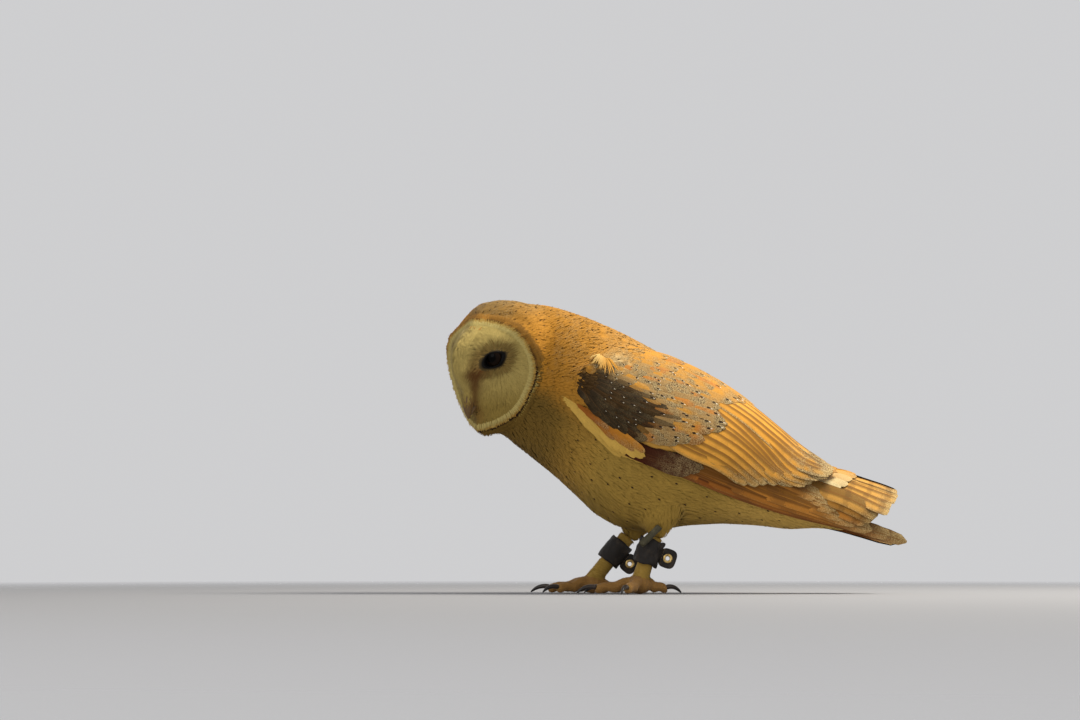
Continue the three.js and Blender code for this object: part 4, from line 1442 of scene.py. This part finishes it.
def refined(name, node, material, slot, grow, along):
    """A smooth copy of a CAD node, grown a little first so that smoothing doesn't thin it."""
    rough = mesh_of(grown_solid(node, grow, quads=True))
    mesh = modified(rough, ("SUBSURF", {"levels": 2, "render_levels": 2}))
    smooth(mesh)
    distance = along(mesh_arrays(mesh)[0])
    share = (distance - distance.min()) / np.ptp(distance)
    vane = np.stack([0 * share + 0.5, share], axis=1)[read(mesh.loops, "vertex_index", kind=np.int32)]
    write(mesh.uv_layers.new(name="Vane").data, "uv", vane)
    return dress(new_object(name, mesh), material, slot, node)


bill_horn = horn_material("bill_horn", srgb(0.37, 0.26, 0.12), srgb(0.47, 0.36, 0.21), 0.45)
claw_horn = horn_material("claw_horn", srgb(0.30, 0.26, 0.23), srgb(0.07, 0.06, 0.055), 0.3)
for part in ("upper", "lower"):
    refined(f"bill_horn_{part}", f"bill_{part}", bill_horn, "bill", 0.15, lambda points: -points[:, 2])
for side in SIDES:
    for toe in ("inner", "middle", "outer", "hind"):
        refined(f"talon_{side}_{toe}", f"claw_{side}_{toe}", claw_horn, "claw", 0.2,
                lambda points: np.linalg.norm(points - FEET[side], axis=1))

# ---- what it wears ----

CUFF_INNER = 7.0
CUFF_OUTER = 9.0
CUFF_LENGTH = 19.0
CUFF_PLACE = 0.58  # of the way up the shank
CUFF_CREASES = ((3, 0.4, 2.2, 0.5), (5, 2.0, -3.4, 0.32), (9, 1.1, 5.0, 0.2), (14, 4.0, 3.0, 0.1))
TAB_MIDDLE = 14.0  # the tab's eyelet, from the middle of the leg
TAB_LEAF = 1.55
TAB_HALF = (6.1, 6.9)
TAB_POWER = 3.2  # its outline is an ellipse at 2, and squarer above
TAB_EDGE = [(0, 0.5), (0.3, 0.5), (0.7, 0.5), (0.93, 0.48), (0.99, 0.3), (1, 0)]  # from hole to rim
EYELET_BORE = 1.5
# the flange's section, out from the hole's middle and up from the leather
EYELET_FLANGE = [(1.62, 0.35), (2.1, 0.6), (2.8, 0.62), (3.3, 0.4), (3.45, 0.1), (3.2, -0.05),
                 (2.0, -0.05), (1.9, -0.3)]
ROLL_TURNS = 2.4


def cuff_axes(side):
    """Along the shank, back and out to the owl's left, with the cuff's middle, as part.mjs has them."""
    along = unit(np.array(KNEES[side], float))
    back = unit(np.array([0, 1.0, 0]) - along * along[1])
    return along, back, np.cross(back, along), FEET[side] + np.array(KNEES[side]) * CUFF_PLACE


def hoop(radius, height, axes, centre):
    """A closed ring: radius and height give its section at each turn; the last axis is the ring's own."""
    turns, sides = radius.shape
    turn = around(turns)[:, None, None]
    points = centre + radius[..., None] * (np.cos(turn) * axes[0] + np.sin(turn) * axes[1])
    points = points + height[..., None] * axes[2]
    return points.reshape(-1, 3), ring_faces(turns, sides).reshape(-1, 4)


def joined(parts):
    """Several (points, faces) meshes as one."""
    offsets = np.cumsum([0] + [len(points) for points, _ in parts[:-1]])
    points = np.concatenate([points for points, _ in parts])
    return points, np.concatenate([faces + offset for (_, faces), offset in zip(parts, offsets)])


def make_cuff(side, rumple):
    """The leather round the leg, softly rounded at its edges and creased where it bends."""
    along, back, out, centre = cuff_axes(side)
    turn = around(96)[:, None]
    inner = np.linspace(-1, 1, 15)[1:-1]
    thick = np.concatenate([[0, 0.3, 0.75, 0.95], 1 + 0 * inner, [0.95, 0.75, 0.3, 0], 0 * inner])
    level = np.concatenate([[-0.97, -1, -1, -0.97], inner * 0.94, [0.97, 1, 1, 0.97], -inner * 0.94])
    creases = sum(
        np.sin(turn * k + phase + level * slant) * size for k, phase, slant, size in CUFF_CREASES
    )
    bands = 0.22 * np.sin(level * 9 + 2.5 * np.sin(turn * 2))
    radius = CUFF_INNER + 0.15 + (CUFF_OUTER - CUFF_INNER - 0.3) * thick
    radius = radius + rumple * (creases + bands) * (0.35 + 0.65 * thick)
    height = level * (CUFF_LENGTH / 2 - 0.4)
    height = height + rumple * 0.55 * np.sin(turn * 4 + 1.0 + level) * np.abs(level)
    return hoop(radius, height, (out, back, along), centre)


def make_tab(side):
    """The doubled tab behind the leg: two leaves with a hole, a little apart at their ends."""
    along, back, out, centre = cuff_axes(side)
    turn = around(48)[:, None]
    reach = 1 / rounded_length(np.cos(turn) / TAB_HALF[0], np.sin(turn) / TAB_HALF[1], TAB_POWER)
    edge = TAB_EDGE + [(share, -top) for share, top in reversed(TAB_EDGE[:-1])]
    share, top = np.array(edge).T[:, None]
    hole = EYELET_BORE + 0.5
    radius = hole + (reach - hole) * share
    parts = []
    for leaf in (-1, 1):
        splay = 0.5 * leaf * smoothstep(radius * np.cos(turn), 1.5, 6)
        height = leaf * (TAB_LEAF / 2 + 0.05) + TAB_LEAF * top + splay + 0.12 * np.sin(3 * turn + leaf)
        parts.append(hoop(radius, height, (back, along, out), centre + back * TAB_MIDDLE))
    return joined(parts)


def make_eyelet(side):
    """A rolled brass eyelet through the tab, with a rounded flange on each face."""
    along, back, out, centre = cuff_axes(side)
    face = TAB_LEAF + 0.15
    section = [(EYELET_BORE + 0.05, -face), (EYELET_BORE, 0), (EYELET_BORE + 0.05, face)]
    section += [(r, face + h) for r, h in EYELET_FLANGE]
    section += [(r, -face - h) for r, h in reversed(EYELET_FLANGE)]
    radius, height = (each(values, 32) for values in np.array(section).T)
    return hoop(radius, height, (back, along, out), centre + back * TAB_MIDDLE)


def make_stitches(side):
    """Waxed thread across the tab, close to the cuff, on both its faces."""
    along, back, out, centre = cuff_axes(side)
    places = centre + back * 9.6 + np.linspace(-5.2, 5.2, 6)[:, None] * along
    step = along * 0.75
    lines = []
    normals = []
    for outward in (-out, out):
        base = places + outward * (TAB_LEAF + 0.1)
        sunk = outward * 0.3
        lines.append(np.stack([base - step - sunk, base + outward * 0.28, base + step - sunk]))
        normals.append(np.broadcast_to(outward, (3, len(places), 3)))
    lines = np.concatenate(lines, axis=1)
    widths = np.full(lines.shape[1], 0.75)
    outline = [(0.12, 0.7), (0.5, 1.0), (0.88, 0.7)]
    made = vanes(lines, np.concatenate(normals, axis=1), widths, outline, columns=3, cup=0, ridge=0.3,
                 thickness=0.5)
    return made[0].reshape(-1, 3), made[1]


def make_roll():
    """The rolled strip of leather that closes the left anklet: a spiral seen at its ends."""
    low, high = (np.array(corner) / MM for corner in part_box("strap_roll_left"))
    size = high - low
    radius = size[0] / 2
    slope = unit(np.array([0, size[1] - 2 * radius * 0.7, size[2] - 2 * radius * 0.7]))
    length = np.hypot(size[1], size[2]) - 2 * radius * 0.98
    up = np.cross(slope, ACROSS)
    turn = np.linspace(0, 2 * np.pi * ROLL_TURNS, 72)
    middle = radius - 0.5 - 0.92 * (ROLL_TURNS - turn / (2 * np.pi))
    turn = np.concatenate([turn, turn[::-1]])
    loop = np.concatenate([middle + 0.42, (middle - 0.38)[::-1]])
    place = np.cos(turn)[:, None] * ACROSS + np.sin(turn)[:, None] * up
    rings = []
    for share in np.linspace(-0.5, 0.5, 16):
        rounded = 0.95 if abs(share) > 0.49 else 1.0
        swell = loop * rounded + 0.1 * np.sin(turn * 2 + share * 9)
        skew = share * length + 0.35 * np.sin(turn + 1)
        rings.append((low + high) / 2 + place * swell[:, None] + slope * skew[:, None])
    sides = len(turn)
    last = len(rings) - 1
    inner = np.arange(sides // 2 - 1)
    start = np.stack([inner + 1, inner, sides - 1 - inner, sides - 2 - inner], axis=1)
    faces = [ring_faces(last + 1, sides)[:-1].reshape(-1, 4), start, start[:, ::-1] + last * sides]
    return np.concatenate(rings), np.concatenate(faces)


black_leather = leather_material("black_leather", srgb(0.13, 0.105, 0.085), srgb(0.30, 0.25, 0.20))
rolled_leather = leather_material("rolled_leather", srgb(0.33, 0.31, 0.22), srgb(0.52, 0.49, 0.37))
thread = leather_material("waxed_thread", srgb(0.40, 0.33, 0.22), srgb(0.58, 0.50, 0.36))
brass = brass_material()
for side, rumple in (("left", 1.0), ("right", 0.35)):
    leather = joined([make_cuff(side, rumple), make_tab(side)])
    dress(write_mesh(f"anklet_leather_{side}", *leather), black_leather, "anklet_leather", f"anklet_{side}")
    dress(write_mesh(f"brass_eyelet_{side}", *make_eyelet(side)), brass, "eyelet", f"eyelet_{side}")
    dress(write_mesh(f"stitches_{side}", *make_stitches(side)), thread, "strap_leather")
dress(write_mesh("strap_roll", *make_roll()), rolled_leather, "strap_leather", "strap_roll_left")

# ---- floor, lights and camera, in metres ----

CAMERA_PLACE = Vector((1250, -97.5, 17)) * MM
CAMERA_TARGET = Vector((0, -97.5, 169)) * MM
LENS = 57.5
LIT_PLACE = Vector((0, -0.03, 0.11))


def aim(thing, place, target):
    """Put a lamp or camera in its place, looking at its target."""
    thing.location = place
    thing.rotation_euler = (target - Vector(place)).to_track_quat("-Z", "Y").to_euler()


def make_camera():
    camera = new_object("camera", bpy.data.cameras.new("camera"))
    camera.data.lens = LENS
    aim(camera, CAMERA_PLACE, CAMERA_TARGET)
    bpy.context.scene.camera = camera


def make_floor():
    """A pale floor that fades into the background away from the owl."""
    bpy.ops.mesh.primitive_circle_add(vertices=96, radius=6, fill_type="NGON")
    floor = bpy.context.object
    floor.name = "floor"
    n = Material("floor", roughness=0.9, specular=0.1)
    n.shader.inputs["Base Color"].default_value = (0.37, 0.37, 0.38, 1)
    solid = Value(n, n.shader.outputs[0])
    clear = n.add("BsdfTransparent", {})
    fade = n.step(n.length(n.place()), 0.35, 1.6)
    n.link(n.add("MixShader", {0: fade, 1: solid, 2: clear}), n.tree.nodes["Material Output"], "Surface")
    floor.data.materials.append(n.material)


def make_light(name, place, size, power, colour):
    light = bpy.data.lights.new(name, "AREA")
    light.shape = "DISK"
    light.size = size
    light.energy = power
    light.color = colour
    aim(new_object(name, light), place, LIT_PLACE)


def make_world():
    """Soft light all round, and plain grey where the camera, gloss or glass sees the world itself."""
    world = bpy.data.worlds.new("studio")
    world.use_nodes = True
    bpy.context.scene.world = world
    n = Nodes(world.node_tree)
    soft = n.tree.nodes["Background"]
    soft.inputs["Color"].default_value = (0.95, 0.96, 1.0, 1)
    soft.inputs["Strength"].default_value = 0.42
    seen = n.add("Background", {"Color": (0.62, 0.62, 0.63, 1)})
    shown = n.add("LightPath", {}, "Is Camera Ray")
    for ray in ("Is Glossy Ray", "Is Transmission Ray"):
        shown = n.calc("MAXIMUM", shown, n.add("LightPath", {}, ray))
    mixed = n.add("MixShader", {0: shown, 1: Value(n, soft.outputs[0]), 2: seen})
    n.link(mixed, n.tree.nodes["World Output"], "Surface")


make_camera()
make_floor()
make_light("key", (0.1, 0.55, 1.15), 0.7, 20, (1.0, 0.95, 0.86))
make_light("fill", (1.3, -0.7, 0.5), 1.0, 3.7, (1.0, 0.97, 0.93))
make_world()
bpy.context.scene.view_settings.view_transform = "Standard"
